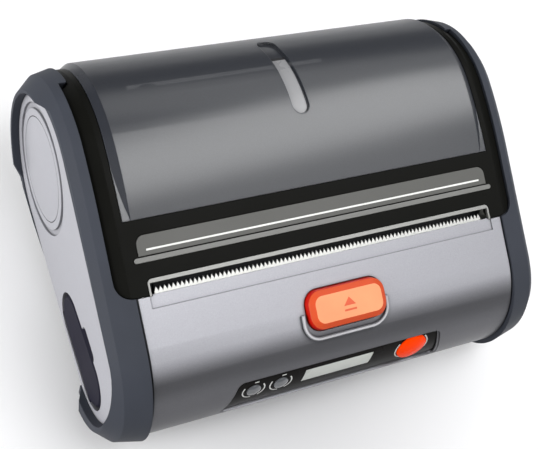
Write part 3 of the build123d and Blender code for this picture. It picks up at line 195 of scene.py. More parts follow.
def remap(tree, value, given, wanted=(0.0, 1.0), **settings):
    """A value moved from one range to another, and held at both ends."""
    fit = add(tree, "ShaderNodeMapRange", **settings)
    names = ("From Min", "From Max", "To Min", "To Max")
    for name, limit in zip(names, (*given, *wanted)):
        fit.inputs[name].default_value = limit
    tree.links.new(value, fit.inputs["Value"])
    return fit.outputs["Result"]


def blend(tree, share, first, second):
    """A mix of two colours by a share; each is a plain colour or another node's output."""
    mix = add(tree, "ShaderNodeMix", data_type="RGBA")
    tree.links.new(share, mix.inputs[0])
    for tone, socket in ((first, mix.inputs[6]), (second, mix.inputs[7])):
        if isinstance(tone, bpy.types.NodeSocket):
            tree.links.new(tone, socket)
        else:
            socket.default_value = (*tone, 1.0)
    return mix.outputs[2]


def leaning(angle):
    """The direction that leans back from straight up by an angle in degrees."""
    return Vector((0.0, sin(radians(angle)), cos(radians(angle))))


def facing(tree, direction):
    """How far the surface faces a direction: 1 straight at it, 0 side on to it."""
    place = add(tree, "ShaderNodeTexCoord")
    along = add(tree, "ShaderNodeVectorMath", operation="DOT_PRODUCT")
    along.inputs[1].default_value = direction
    tree.links.new(place.outputs["Normal"], along.inputs[0])
    return along.outputs["Value"]


def distance(tree, vector, point):
    """The distance of a linked vector from a point."""
    away = add(tree, "ShaderNodeVectorMath", operation="DISTANCE")
    away.inputs[1].default_value = point
    tree.links.new(vector, away.inputs[0])
    return away.outputs["Value"]


def noise(tree, scale, detail=2.0, stretch=(1.0, 1.0, 1.0)):
    """Noise on Object coordinates, with an optional stretch."""
    place = add(tree, "ShaderNodeTexCoord")
    turn = add(tree, "ShaderNodeMapping", Scale=stretch)
    pattern = add(tree, "ShaderNodeTexNoise", Scale=scale, Detail=detail)
    tree.links.new(place.outputs["Object"], turn.inputs["Vector"])
    tree.links.new(turn.outputs["Vector"], pattern.inputs["Vector"])
    return pattern.outputs[0]


def spread(tree, source, low, high):
    """Noise spread over a range."""
    return remap(tree, source, NOISE_SPAN, (low, high))


def tint(tree, source, base, amount):
    """A colour that varies a little, lighter and darker, with the noise."""
    darker = [c * (1 - amount) for c in base]
    lighter = [min(1.0, c * (1 + amount)) for c in base]
    return blend(tree, spread(tree, source, 0.0, 1.0), darker, lighter)


def painted_crease_shade(tree):
    """Painted shade: one on open surfaces, and less in narrow gaps, where it darkens the paint."""
    closed = add(tree, "ShaderNodeAmbientOcclusion", Distance=0.0016)
    closed.samples = 8
    return remap(tree, closed.outputs["AO"], (0.35, 0.95), (0.25, 1.0))


def bump(tree, shader, source, strength, depth, edge=0.0):
    """Fine relief from the noise, and soft edges where an edge radius is given."""
    relief = add(tree, "ShaderNodeBump", Strength=strength, Distance=depth)
    tree.links.new(source, relief.inputs["Height"])
    if edge:
        soft = add(tree, "ShaderNodeBevel", Radius=edge)
        soft.samples = 4
        tree.links.new(soft.outputs["Normal"], relief.inputs["Normal"])
    tree.links.new(relief.outputs["Normal"], shader.inputs["Normal"])


def finish(material, *names):
    """Give CAD nodes a material, and leave their meshes as they are."""
    for name in names:
        node = nodes[name]
        if node.material_slots:
            for slot in node.material_slots:
                slot.material = material
        else:
            node.data.materials.append(material)


# The finishes


def silver_paint(name, base, metallic, painted_slope_shade=1.0):
    """Metallic paint with a fine flake, with painted shade: darker in its creases and where it slopes away
    from above.
    """
    material, tree, shader = new_material(name)
    flake = noise(tree, 5200.0, 1.0)
    cloud = noise(tree, 60.0, 3.0)
    # Painted shade: the paint darkens where it slopes away from above, as on the lower nose, and in its
    # creases
    slope = remap(tree, facing(tree, leaning(30)), (0.28, 0.53), (painted_slope_shade, 1.0))
    level = calculate(tree, "MULTIPLY", slope, painted_crease_shade(tree))
    shaded_flake = add(tree, "ShaderNodeVectorMath", operation="SCALE")
    tree.links.new(tint(tree, flake, base, 0.09), shaded_flake.inputs[0])
    tree.links.new(level, shaded_flake.inputs["Scale"])
    tree.links.new(shaded_flake.outputs[0], shader.inputs["Base Color"])
    tree.links.new(spread(tree, cloud, 0.31, 0.37), shader.inputs["Roughness"])
    shader.inputs["Metallic"].default_value = metallic
    shader.inputs["Specular IOR Level"].default_value = 0.08
    bump(tree, shader, flake, strength=0.10, depth=0.00003, edge=0.00035)
    return material


def soft_rubber(name, base, rough=(0.55, 0.70), shine=0.25):
    """Moulded rubber: fine spark grain, with slightly polished patches."""
    material, tree, shader = new_material(name)
    grain = noise(tree, 3200.0, 3.0)
    wear = noise(tree, 45.0, 4.0)
    tree.links.new(tint(tree, wear, base, 0.12), shader.inputs["Base Color"])
    tree.links.new(spread(tree, wear, *rough), shader.inputs["Roughness"])
    shader.inputs["Specular IOR Level"].default_value = shine
    bump(tree, shader, grain, strength=0.16, depth=0.00005, edge=0.0005)
    return material


def moulded(name, base, rough=0.4, grain_size=2600.0, strength=0.10, edge=0.0003, coat=0.0, shine=0.5):
    """Moulded plastic with a fine tool grain and faint handling marks."""
    material, tree, shader = new_material(name)
    grain = noise(tree, grain_size, 2.0)
    wear = noise(tree, 70.0, 4.0)
    tree.links.new(tint(tree, wear, base, 0.07), shader.inputs["Base Color"])
    tree.links.new(spread(tree, wear, rough - 0.04, rough + 0.06), shader.inputs["Roughness"])
    shader.inputs["Coat Weight"].default_value = coat
    shader.inputs["Specular IOR Level"].default_value = shine
    bump(tree, shader, grain, strength, depth=0.00003, edge=edge)
    return material


def slope_shaded_plastic(name, base, rim, deep, angle):
    """Moulded plastic with painted shade: deeper in colour on its rim and deepest on its sides, the more
    they turn from its face.
    """
    material = moulded(name, base, rough=0.38, grain_size=3000.0, strength=0.05, edge=0.0006, shine=0.2)
    tree = material.node_tree
    shader = tree.nodes["Principled BSDF"]
    plain = shader.inputs["Base Color"].links[0].from_socket
    face = facing(tree, leaning(angle))
    # Painted shade by how far each face turns from the button's front
    sides_to_rim = blend(tree, remap(tree, face, (0.30, 0.75)), deep, rim)
    rim_to_face = blend(tree, remap(tree, face, (0.93, 0.999)), sides_to_rim, plain)
    tree.links.new(rim_to_face, shader.inputs["Base Color"])
    return material


def painted_glow(material, base, strength):
    """Painted glow: a faint light of its own on a key that is no lamp."""
    shader = material.node_tree.nodes["Principled BSDF"]
    shader.inputs["Emission Color"].default_value = (*base, 1.0)
    shader.inputs["Emission Strength"].default_value = strength


def metal(name, base, rough=0.3, stretch=(1.0, 12.0, 12.0)):
    """Ground or brushed metal, with its lines along one axis."""
    material, tree, shader = new_material(name)
    lines = noise(tree, 420.0, 4.0, stretch)
    tree.links.new(tint(tree, lines, base, 0.10), shader.inputs["Base Color"])
    tree.links.new(spread(tree, lines, rough - 0.06, rough + 0.08), shader.inputs["Roughness"])
    shader.inputs["Metallic"].default_value = 1.0
    bump(tree, shader, lines, strength=0.12, depth=0.00002, edge=0.0002)
    return material


def smoked(base):
    """Smoked clear plastic, dimly see-through, with painted shade on its shine: less reflection at its ends
    and back than towards its crown.
    """
    material, tree, shader = new_material("smoked_plastic")
    dust = noise(tree, 2400.0, 2.0)
    tree.links.new(tint(tree, dust, base, 0.10), shader.inputs["Base Color"])
    shader.inputs["Roughness"].default_value = 0.28
    shader.inputs["Alpha"].default_value = 0.80
    # Painted shade on the shine: reflection dulled where the window faces sideways or back
    shine_to_painted_dull = (0.95, 0.15)
    sideways = calculate(tree, "ABSOLUTE", facing(tree, (1.0, 0.0, 0.0)))
    ends = remap(tree, sideways, (0.12, 0.5), shine_to_painted_dull)
    back = remap(tree, facing(tree, (0.0, 1.0, 0.0)), (0.35, 0.7), shine_to_painted_dull)
    level = calculate(tree, "MINIMUM", ends, back)
    tree.links.new(level, shader.inputs["Specular IOR Level"])
    bump(tree, shader, dust, strength=0.03, depth=0.00002, edge=0.0004)
    return material


def dark_inside(material, base, centre, radius):
    """Bare dark plastic inside a circle of the side view, in place of the paint."""
    tree = material.node_tree
    shader = tree.nodes["Principled BSDF"]
    painted = shader.inputs["Base Color"].links[0].from_socket
    place = add(tree, "ShaderNodeTexCoord")
    side = add(tree, "ShaderNodeVectorMath", operation="MULTIPLY")
    side.inputs[1].default_value = (0.0, 1.0, 1.0)
    tree.links.new(place.outputs["Object"], side.inputs[0])
    away = distance(tree, side.outputs[0], (0.0, centre[0] / 1000, centre[1] / 1000))
    outside = remap(tree, away, (radius / 1000 - 0.0001, radius / 1000))
    tree.links.new(blend(tree, outside, base, painted), shader.inputs["Base Color"])


def circuit():
    """Green lacquered board with darker runs of copper below the lacquer."""
    material, tree, shader = new_material("circuit_board")
    place = add(tree, "ShaderNodeTexCoord")
    cells = add(tree, "ShaderNodeTexBrick", Scale=260.0)
    cells.inputs["Color1"].default_value = (0.012, 0.10, 0.045, 1.0)
    cells.inputs["Color2"].default_value = (0.016, 0.14, 0.06, 1.0)
    cells.inputs["Mortar"].default_value = (0.03, 0.22, 0.10, 1.0)
    tree.links.new(place.outputs["Object"], cells.inputs["Vector"])
    tree.links.new(cells.outputs["Color"], shader.inputs["Base Color"])
    shader.inputs["Roughness"].default_value = 0.35
    return material


def ink(name, base):
    """Printed ink with a faint uneven edge of density."""
    return moulded(name, base, rough=0.5, grain_size=4200.0, strength=0.04, edge=0.0)


def painted_highlight(name, base):
    """Painted highlight: a thin satin piece where a surface catches the light."""
    return moulded(name, base, rough=0.3, grain_size=2800.0, strength=0.05, edge=0.0)


# Mesh helpers


def on_nose(x, along, lift, angle, radius):
    """A point on the nose, by its x, its way round from an angle and its lift off the surface."""
    turn = radians(angle) + along / radius
    reach = radius + lift
    return Vector((x, NOSE_AXIS[0] / 1000 + reach * sin(turn), NOSE_AXIS[1] / 1000 + reach * cos(turn)))


def wrap_on_nose(mesh, centre_x, angle, radius):
    """Lay a flat drawing, in its own x and y, on the nose's curve."""
    for vertex in mesh.verts:
        x, y, z = vertex.co
        vertex.co = on_nose(centre_x + x, y, z, angle, radius)


def lay_on_band(mesh, along, lift=0.0):
    """Lay a flat drawing on the sloping band, its y running up the band."""
    slope = radians(BAND_ANGLE)
    for vertex in mesh.verts:
        x, y, z = vertex.co
        up = along + y
        out = lift + z
        vertex.co = Vector((
            x,
            BAND_FRONT[0] / 1000 + up * cos(slope) - out * sin(slope),
            BAND_FRONT[1] / 1000 + up * sin(slope) + out * cos(slope),
        ))


def lay_on_crown(mesh, turn, reach):
    """Lay a flat drawing on a circle about the roll, its y running to the back."""
    for vertex in mesh.verts:
        x, y, z = vertex.co
        angle = turn + y / reach
        vertex.co = Vector((
            x, ROLL_AXIS[0] / 1000 + reach * sin(angle), ROLL_AXIS[1] / 1000 + reach * cos(angle)
        ))


def loose_edge(mesh, first, second):
    """A loose edge between two points, ready to be spun or run along."""
    return mesh.edges.new([mesh.verts.new(point) for point in (first, second)])


def newest_edge(pieces):
    """The far edge that an operator made: the one between its new vertices."""
    verts = {piece for piece in pieces if isinstance(piece, bmesh.types.BMVert)}
    edges = [piece for piece in pieces if isinstance(piece, bmesh.types.BMEdge)]
    return next(edge for edge in edges if verts.issuperset(edge.verts))


def spin_edge(mesh, edge, centre, sweep, steps):
    """Spin an edge about a point by an angle in degrees; gives the last edge."""
    made = bmesh.ops.spin(
        mesh, geom=[*edge.verts, edge], cent=centre, axis=(0, 0, 1), angle=radians(sweep), steps=steps
    )
    return newest_edge(made["geom_last"])


def run_edge(mesh, edge, way):
    """Extrude an edge straight along a way; gives the last edge."""
    made = bmesh.ops.extrude_edge_only(mesh, edges=[edge])
    last = newest_edge(made["geom"])
    bmesh.ops.translate(mesh, verts=list(last.verts), vec=way)
    return last


def draw_arc(mesh, radius, width, start, sweep, steps=20, centre=(0.0, 0.0)):
    """A printed arc: a short edge spun about its centre, by angles in degrees."""
    middle = Vector((*centre, 0.0))
    inner = middle + Vector((radius - width / 2, 0, 0))
    outer = middle + Vector((radius + width / 2, 0, 0))
    edge = loose_edge(mesh, inner, outer)
    turn = Matrix.Rotation(radians(start), 3, "Z")
    bmesh.ops.rotate(mesh, verts=list(edge.verts), cent=middle, matrix=turn)
    spin_edge(mesh, edge, middle, sweep, steps)


def draw_bar(mesh, width, height, centre=(0.0, 0.0), rows=1):
    """A printed bar, in rows where it has to follow a curve."""
    made = bmesh.ops.create_grid(mesh, x_segments=1, y_segments=rows, size=0.5)
    bmesh.ops.scale(mesh, verts=made["verts"], vec=(width, height, 1))
    bmesh.ops.translate(mesh, verts=made["verts"], vec=(*centre, 0))


def join_drawing(mesh, drawing):
    """Add one drawing to another."""
    data = bpy.data.meshes.new("drawing")
    drawing.to_mesh(data)
    drawing.free()
    mesh.from_mesh(data)
    bpy.data.meshes.remove(data)


def make_piece(name, mesh, material, body, thickness):
    """Turn a drawing into a thin closed piece that rides on a body."""
    bmesh.ops.recalc_face_normals(mesh, faces=mesh.faces[:])
    data = bpy.data.meshes.new(name)
    mesh.to_mesh(data)
    mesh.free()
    piece = bpy.data.objects.new(name, data)
    bpy.context.scene.collection.objects.link(piece)
    data.materials.append(material)
    wall = piece.modifiers.new("ink", "SOLIDIFY")
    wall.thickness = thickness
    wall.offset = 0.0
    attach(piece, body)


# Operators


class PRINTER_OT_housing(bpy.types.Operator):
    """Paint the housing, its nose, side plates and round caps silver, and leave the chamber dark; the
    housing's paint holds painted shade, and the plates' and caps' copy of it is painted lighter.
    """

    bl_idname = "printer.housing"
    bl_label = "Silver Housing"

    def execute(self, context):
        colours = context.scene.printer_finishes
        # Painted shade on the housing: darker in its creases, and down to 0.38 where the nose slopes away
        # from above
        paint = silver_paint("silver_paint", colours.silver, metallic=0.5, painted_slope_shade=0.38)
        dark_inside(paint, colours.chamber, ROLL_AXIS, CHAMBER_RADIUS)
        finish(paint, "lower_housing", "front_housing")
        # Painted light: the plates and caps take the housing's paint made lighter, standing in for the light
        # that falls on them
        lighter = [c * PLATE_PAINTED_LIGHT for c in colours.silver]
        plates = silver_paint("silver_plates_painted_lighter", lighter, metallic=0.15)
        finish(plates, "left_side_plate", "right_side_plate", "left_round_cap", "right_round_cap")
        return {"FINISHED"}


class PRINTER_OT_bumpers(bpy.types.Operator):
    """Give the bumpers and the port flap their rubber."""

    bl_idname = "printer.bumpers"
    bl_label = "Rubber Bumpers"

    def execute(self, context):
        colours = context.scene.printer_finishes
        finish(soft_rubber("soft_rubber", colours.bumper), "left_bumper", "right_bumper")
        finish(soft_rubber("flap_rubber", colours.flap, (0.55, 0.65), 0.08), "port_flap")
        return {"FINISHED"}


class PRINTER_OT_cover(bpy.types.Operator):
    """Finish the cover's frame, label panel, trim bar and bright edge strip."""

    bl_idname = "printer.cover"
    bl_label = "Cover"

    def execute(self, context):
        colours = context.scene.printer_finishes
        black = moulded("cover_black", colours.cover, rough=0.45, grain_size=2200.0, edge=0.0005, shine=0.05)
        finish(black, "cover_frame")
        finish(moulded("label_grey", colours.label, rough=0.45), "label_panel")
        finish(moulded("trim_grey", colours.trim, rough=0.35), "trim_bar")
        finish(metal("bright_strip", (0.27, 0.27, 0.26), rough=0.46), "edge_strip")
        return {"FINISHED"}


class PRINTER_OT_window(bpy.types.Operator):
    """Finish the smoked window."""

    bl_idname = "printer.window"
    bl_label = "Smoked Window"

    def execute(self, context):
        finish(smoked(context.scene.printer_finishes.window), "window")
        return {"FINISHED"}


class PRINTER_OT_controls(bpy.types.Operator):
    """Finish the open button, the keys, the glossy panel and the display."""

    bl_idname = "printer.controls"
    bl_label = "Controls"

    def execute(self, context):
        colours = context.scene.printer_finishes
        # Painted shade on the open button's rim and sides
        orange = slope_shaded_plastic(
            "open_orange", colours.open_button, colours.open_rim_shade, colours.open_sides_shade, OPEN_ANGLE
        )
        finish(orange, "open_button")
        red = moulded(
            "power_red", colours.power_button,
            rough=0.25, grain_size=3000.0, strength=0.02, edge=0.0004, shine=0.04,
        )
        # Painted glow on the power key
        painted_glow(red, colours.power_button, 0.25)
        finish(red, "power_button")
        grey = moulded(
            "key_grey", (0.12, 0.125, 0.135), rough=0.14, grain_size=3000.0, strength=0.02, coat=0.5
        )
        finish(grey, "mode_button", "feed_button")
        black = moulded(
            "panel_black", (0.006, 0.005, 0.0045),
            rough=0.3, grain_size=3000.0, strength=0.01, edge=0.0002, shine=0.03,
        )
        finish(black, "control_panel")
        display = moulded(
            "display_grey", colours.display, rough=0.30, grain_size=4000.0, strength=0.02, edge=0.0
        )
        finish(display, "display_window")
        return {"FINISHED"}


class PRINTER_OT_mechanism(bpy.types.Operator):
    """Finish the print mechanism, the boards, the battery and what the cover hides."""

    bl_idname = "printer.mechanism"
    bl_label = "Mechanism"

    def execute(self, context):
        finish(
            moulded("inner_black", (0.03, 0.03, 0.033), rough=0.45),
            "cover_liner", "paper_chute", "paper_sensor", "left_roll_hub", "right_roll_hub",
            "latch_arm", "battery_latch", "charging_socket", "battery_contacts", "display_module",
            "platen_bushings",
        )
        battery_case = moulded(
            "battery_case", (0.035, 0.035, 0.04), rough=0.5, grain_size=1500.0, strength=0.2
        )
        finish(battery_case, "battery_pack")
        sheet_steel = metal("sheet_steel", (0.56, 0.56, 0.57), rough=0.34)
        finish(sheet_steel, "print_frame", "latch_hooks", "data_socket")
        finish(
            metal("ground_steel", (0.62, 0.62, 0.64), rough=0.22, stretch=(1.0, 40.0, 40.0)),
            "platen_shaft", "latch_shaft", "head_rod", "hinge_pin", "frame_screws", "cover_screws",
            "head_springs", "latch_spring", "stepper_motor",
        )
        finish(metal("blade_steel", (0.50, 0.50, 0.48), rough=0.42), "tear_bar")
        finish(metal("heatsink", (0.74, 0.74, 0.76), rough=0.38), "head_heatsink")
        ceramic = moulded("head_ceramic", (0.66, 0.62, 0.54), rough=0.2, grain_size=3000.0, strength=0.02)
        finish(ceramic, "thermal_head")
        finish(soft_rubber("platen_rubber", (0.025, 0.025, 0.027), (0.6, 0.75)), "platen_roller")
        finish(
            moulded("gear_white", (0.72, 0.71, 0.66)),
            "platen_gear", "idler_gear", "motor_pinion", "guide_pinion",
        )
        finish(moulded("guide_cream", (0.50, 0.45, 0.36)), "left_roll_guide", "right_roll_guide")
        finish(moulded("tab_orange", (0.95, 0.42, 0.10)), "left_guide_tab", "right_guide_tab")
        finish(circuit(), "main_board", "panel_board", "port_board")
        return {"FINISHED"}


class PRINTER_OT_label_line(bpy.types.Operator):
    """Print the white line along the label panel."""

    bl_idname = "printer.label_line"
    bl_label = "Label Line"

    def execute(self, context):
        marks = context.scene.printer_marks
        mesh = bmesh.new()
        draw_bar(mesh, 2 * marks.line_half, marks.line_width)
        lay_on_band(mesh, LABEL_LINE_UP / 1000, marks.ink)
        make_piece("label_line", mesh, ink("line_white", (0.85, 0.85, 0.82)), "cover", marks.ink)
        return {"FINISHED"}


class PRINTER_OT_key_marks(bpy.types.Operator):
    """Print the broken rings round the keys and the small plain marks beside them."""

    bl_idname = "printer.key_marks"
    bl_label = "Key Marks"

    def execute(self, context):
        marks = context.scene.printer_marks
        surface = (NOSE_RADIUS - PANEL_DEPTH) / 1000
        mesh = bmesh.new()
        for x in SMALL_KEYS_X:
            drawing = small_key_marks(marks)
            wrap_on_nose(drawing, x / 1000, KEY_ANGLE, surface)
            join_drawing(mesh, drawing)
        drawing = power_key_marks(marks)
        wrap_on_nose(drawing, POWER_KEY_X / 1000, KEY_ANGLE, surface)
        join_drawing(mesh, drawing)
        off_the_panel = (0, -0.00002, 0.00001)
        bmesh.ops.translate(mesh, verts=mesh.verts[:], vec=off_the_panel)
        make_piece("key_marks", mesh, ink("mark_white", (0.80, 0.80, 0.78)), "housing", marks.ink)
        return {"FINISHED"}


def small_key_marks(marks):
    """A broken ring with a dash at its top."""
    drawing = bmesh.new()
    for start, sweep in SMALL_KEY_ARCS:
        draw_arc(drawing, marks.ring_radius, marks.ring_width, start, sweep)
    draw_bar(drawing, width=0.0014, height=marks.dash_width, centre=(0.0006, 0.0036))
    return drawing


def power_key_marks(marks):
    """A broken ring with a dash and a small open circle at its top."""
    drawing = bmesh.new()
    for start, sweep in POWER_KEY_ARCS:
        draw_arc(drawing, marks.power_ring_radius, marks.ring_width, start, sweep)
    draw_bar(drawing, width=0.0013, height=marks.dash_width, centre=(-0.0006, 0.0061))
    draw_arc(
        drawing, radius=0.0007, width=0.00035, start=120, sweep=300, steps=12, centre=(0.0022, 0.0058)
    )
    return drawing


class PRINTER_OT_groove_reflection(bpy.types.Operator):
    """Lay a painted reflection, a thin bright piece, in the front part of the window's grip groove where its
    floor catches the light.
    """

    bl_idname = "printer.groove_lining"
    bl_label = "Groove Lining"

    def execute(self, context):
        marks = context.scene.printer_marks
        reach = (WINDOW_RADIUS - GROOVE_DEPTH) / 1000 + marks.ink
        front, back = (radians(angle) * reach for angle in REFLECTION_ENDS)
        mesh = bmesh.new()
        draw_reflection_strip(mesh, front, back, marks.reflection_half)
        lay_on_crown(mesh, 0.0, reach)
        bright = painted_highlight("reflection_silver", (0.30, 0.30, 0.31))
        make_piece("groove_lining", mesh, bright, "cover", marks.ink)
        return {"FINISHED"}


def draw_reflection_strip(mesh, front, back, half):
    """A long strip with a round front end, half a circle welded to it."""
    weld = 0.000001
    straight = front + half
    draw_bar(mesh, 2 * half, back - straight, (0, (straight + back) / 2), rows=24)
    end = bmesh.new()
    bmesh.ops.create_circle(end, cap_ends=True, radius=half, segments=32)
    bmesh.ops.bisect_plane(
        end, geom=end.verts[:] + end.edges[:] + end.faces[:], dist=weld,
        plane_co=(0, 0, 0), plane_no=(0, 1, 0), clear_outer=True,
    )
    bmesh.ops.translate(end, verts=end.verts[:], vec=(0, straight, 0))
    join_drawing(mesh, end)
    bmesh.ops.remove_doubles(mesh, verts=mesh.verts[:], dist=weld)


class PRINTER_OT_window_tick(bpy.types.Operator):
    """Print the dark tick in the window's grip groove."""

    bl_idname = "printer.window_tick"
    bl_label = "Window Tick"

    def execute(self, context):
        marks = context.scene.printer_marks
        mesh = bmesh.new()
        draw_bar(mesh, width=0.0052, height=0.0011)
        lay_on_crown(mesh, radians(TICK_ANGLE), (WINDOW_RADIUS - GROOVE_DEPTH) / 1000 + marks.ink)
        make_piece("window_tick", mesh, ink("tick_dark", (0.02, 0.02, 0.022)), "cover", marks.ink)
        return {"FINISHED"}


class PRINTER_OT_open_symbol(bpy.types.Operator):
    """Print a plain triangle over a bar on the open button."""

    bl_idname = "printer.open_symbol"
    bl_label = "Open Symbol"

    def execute(self, context):
        marks = context.scene.printer_marks
        mesh = bmesh.new()
        made = bmesh.ops.create_circle(mesh, cap_ends=True, radius=0.0021, segments=3)
        bmesh.ops.scale(mesh, verts=made["verts"], vec=(1.15, 0.8, 1))
        bmesh.ops.translate(mesh, verts=made["verts"], vec=(0, 0.0004, 0))
        draw_bar(mesh, width=0.0042, height=0.0006, centre=(0, -0.0018))
        out = leaning(OPEN_ANGLE)
        up = leaning(OPEN_ANGLE + 90)
        top = (Vector((OPEN_X, *NOSE_AXIS)) + out * (NOSE_RADIUS + SYMBOL_HEIGHT)) / 1000
        for vertex in mesh.verts:
            vertex.co = top + Vector((vertex.co.x, 0, 0)) + up * vertex.co.y
        make_piece("open_symbol", mesh, ink("symbol_orange", (0.75, 0.10, 0.03)), "open_key", marks.ink)
        return {"FINISHED"}


class PRINTER_OT_rib_highlight(bpy.types.Operator):
    """Run a painted highlight, a bright line, along the top of the open button's U-shaped rib."""

    bl_idname = "printer.rib_line"
    bl_label = "Rib Line"

    def execute(self, context):
        marks = context.scene.printer_marks
        out = leaning(OPEN_ANGLE)
        up = leaning(OPEN_ANGLE + 90)
        origin = Vector((RIB_X, *NOSE_AXIS)) / 1000
        reach = (NOSE_RADIUS + RIB_HEIGHT) / 1000 + marks.ink
        mesh = bmesh.new()
        draw_rib(mesh, marks.rib_highlight_width)
        for vertex in mesh.verts:
            x, y = vertex.co.xy
            vertex.co = origin + Vector((x, 0, 0)) + up * y + out * sqrt(reach**2 - y**2)
        make_piece("rib_line", mesh, painted_highlight("rib_painted_highlight", (0.55, 0.55, 0.57)), "housing", marks.ink)
        return {"FINISHED"}


def draw_rib(mesh, width):
    """The flat U of the open button's rib: an edge run down, round two corners and up again."""
    half, low, top, corner = (size / 1000 for size in (RIB_HALF_WIDTH, RIB_LOW, RIB_TOP, RIB_CORNER))
    level = low + corner
    edge = loose_edge(mesh, (width / 2 - half, top, 0), (-width / 2 - half, top, 0))
    edge = run_edge(mesh, edge, (0, level - top, 0))
    edge = spin_edge(mesh, edge, (corner - half, level, 0), sweep=90, steps=8)
    edge = run_edge(mesh, edge, (2 * (half - corner), 0, 0))
    edge = spin_edge(mesh, edge, (half - corner, level, 0), sweep=90, steps=8)
    run_edge(mesh, edge, (0, top - level, 0))


class PRINTER_OT_stage(bpy.types.Operator):
    """Set the floor, the lamps and the camera."""

    bl_idname = "printer.stage"
    bl_label = "Stage"

    def execute(self, context):
        levels = context.scene.printer_stage
        add_floor()
        add_lamp("top_lamp", (0.282, -0.04, 0.74), (0.8, 0.38), levels.top_light, roll=-50.0)
        add_lamp("side_lamp", (-0.85, -0.05, 0.27), (0.7, 0.7), levels.side_light)
        add_lamp("front_lamp", (0.38, -0.58, 0.68), (0.8, 0.5), levels.front_light)
        add_lamp("rear_lamp", (0.36, 0.55, 0.72), (0.6, 0.5), levels.rear_light)
        add_lamp("back_lamp", (-0.40, 0.80, 0.14), (0.6, 0.24), levels.back_light)
        add_world(levels.ambient)
        add_camera()
        context.scene.view_settings.view_transform = "Standard"
        return {"FINISHED"}


def add_floor():
    """A pale floor just below the feet that keeps the printer's shadow, with a painted shadow round the
    nose: it glows whiter away from the nose.
    """
    below_feet = (0, 0, -0.0001)
    mesh = bmesh.new()
    bmesh.ops.create_grid(mesh, x_segments=1, y_segments=1, size=3.0)
    bmesh.ops.translate(mesh, verts=mesh.verts[:], vec=below_feet)
    data = bpy.data.meshes.new("floor")
    mesh.to_mesh(data)
    mesh.free()
    floor = bpy.data.objects.new("floor", data)
    bpy.context.scene.collection.objects.link(floor)
    material, tree, shader = new_material("pale_floor")
    shader.inputs["Roughness"].default_value = 0.9
    shader.inputs["Specular IOR Level"].default_value = 0.0
    shader.inputs["Emission Color"].default_value = (1.0, 1.0, 1.0, 1.0)
    seen = seen_ray(tree)
    shade = blend(tree, seen, (0.20, 0.20, 0.20), (0.64, 0.64, 0.65))
    tree.links.new(shade, shader.inputs["Base Color"])
    # Painted shadow: the floor's glow is weaker near the nose and stronger away from it
    place = add(tree, "ShaderNodeTexCoord")
    from_nose = distance(tree, place.outputs["Object"], (-0.01, -0.055, 0.0))
    painted_shadow_fade = remap(tree, from_nose, (0.0, 0.12), (0.06, 0.40), interpolation_type="SMOOTHSTEP")
    tree.links.new(calculate(tree, "MULTIPLY", painted_shadow_fade, seen), shader.inputs["Emission Strength"])
    data.materials.append(material)


def seen_ray(tree):
    """One for rays that show the background: from the camera, off metal and through glass."""
    path = add(tree, "ShaderNodeLightPath")
    seen = path.outputs["Is Camera Ray"]
    for kind in ("Is Glossy Ray", "Is Transmission Ray"):
        seen = calculate(tree, "MAXIMUM", seen, path.outputs[kind])
    return seen


def add_lamp(name, place, size, watts, roll=0.0):
    """A soft rectangular lamp that points at the printer; roll turns it in its own plane."""
    lamp = bpy.data.lights.new(name, "AREA")
    lamp.shape = "RECTANGLE"
    lamp.size, lamp.size_y = size
    lamp.energy = watts
    holder = bpy.data.objects.new(name, lamp)
    holder.location = place
    middle = Vector((0.0, 0.0, 0.03))
    aim = (middle - Vector(place)).to_track_quat("-Z", "Y")
    holder.rotation_euler = (aim @ Quaternion((0, 0, 1), radians(roll))).to_euler()
    bpy.context.scene.collection.objects.link(holder)


def add_world(strength):
    """A pale even world."""
    world = bpy.data.worlds.new("pale_world")
    world.use_nodes = True
    shade = world.node_tree.nodes["Background"]
    shade.inputs["Color"].default_value = (0.95, 0.97, 1.0, 1.0)
    shade.inputs["Strength"].default_value = strength
    bpy.context.scene.world = world


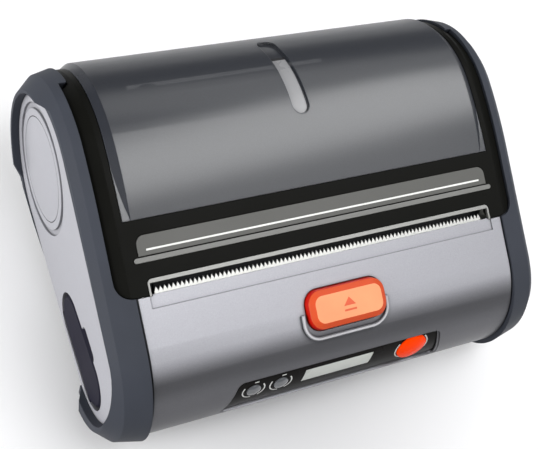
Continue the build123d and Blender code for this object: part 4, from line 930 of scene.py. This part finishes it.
def add_camera():
    """The photograph's viewing angle, from the left, the front and well above."""
    camera = bpy.data.cameras.new("camera")
    camera.sensor_width = SENSOR_WIDTH
    camera.lens = FOCAL_LENGTH
    camera.clip_start = 0.01
    camera.clip_end = 20.0
    holder = bpy.data.objects.new("camera", camera)
    holder.location = CAMERA_PLACE
    holder.rotation_euler = [radians(angle) for angle in CAMERA_TURN]
    bpy.context.scene.collection.objects.link(holder)
    bpy.context.scene.camera = holder


class PRINTER_PT_panel(bpy.types.Panel):
    """The printer's operators and settings."""

    bl_label = "Receipt Printer"
    bl_idname = "PRINTER_PT_panel"
    bl_space_type = "VIEW_3D"
    bl_region_type = "UI"
    bl_category = "Printer"

    def draw(self, context):
        layout = self.layout
        for operator in operators:
            layout.operator(operator.bl_idname)
        for group in ("printer_finishes", "printer_marks", "printer_stage"):
            settings = getattr(context.scene, group)
            box = layout.box()
            for key in settings.__annotations__:
                box.prop(settings, key)


operators = (
    PRINTER_OT_housing, PRINTER_OT_bumpers, PRINTER_OT_cover, PRINTER_OT_window, PRINTER_OT_controls,
    PRINTER_OT_mechanism, PRINTER_OT_label_line, PRINTER_OT_key_marks, PRINTER_OT_groove_reflection,
    PRINTER_OT_window_tick, PRINTER_OT_open_symbol, PRINTER_OT_rib_highlight, PRINTER_OT_stage,
)
classes = (FinishSettings, MarkSettings, StageSettings, *operators, PRINTER_PT_panel)


def register():
    """Register the classes and hang their settings on the scene."""
    for item in classes:
        bpy.utils.register_class(item)
    bpy.types.Scene.printer_finishes = PointerProperty(type=FinishSettings)
    bpy.types.Scene.printer_marks = PointerProperty(type=MarkSettings)
    bpy.types.Scene.printer_stage = PointerProperty(type=StageSettings)


def unregister():
    """Take the settings and the classes away again."""
    del bpy.types.Scene.printer_stage
    del bpy.types.Scene.printer_marks
    del bpy.types.Scene.printer_finishes
    for item in reversed(classes):
        bpy.utils.unregister_class(item)


def main():
    """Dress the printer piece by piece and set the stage."""
    register()
    bpy.ops.printer.housing()
    bpy.ops.printer.bumpers()
    bpy.ops.printer.cover()
    bpy.ops.printer.window()
    bpy.ops.printer.controls()
    bpy.ops.printer.mechanism()
    bpy.ops.printer.label_line()
    bpy.ops.printer.key_marks()
    bpy.ops.printer.groove_lining()
    bpy.ops.printer.window_tick()
    bpy.ops.printer.open_symbol()
    bpy.ops.printer.rib_line()
    bpy.ops.printer.stage()


if __name__ == "__main__":
    main()
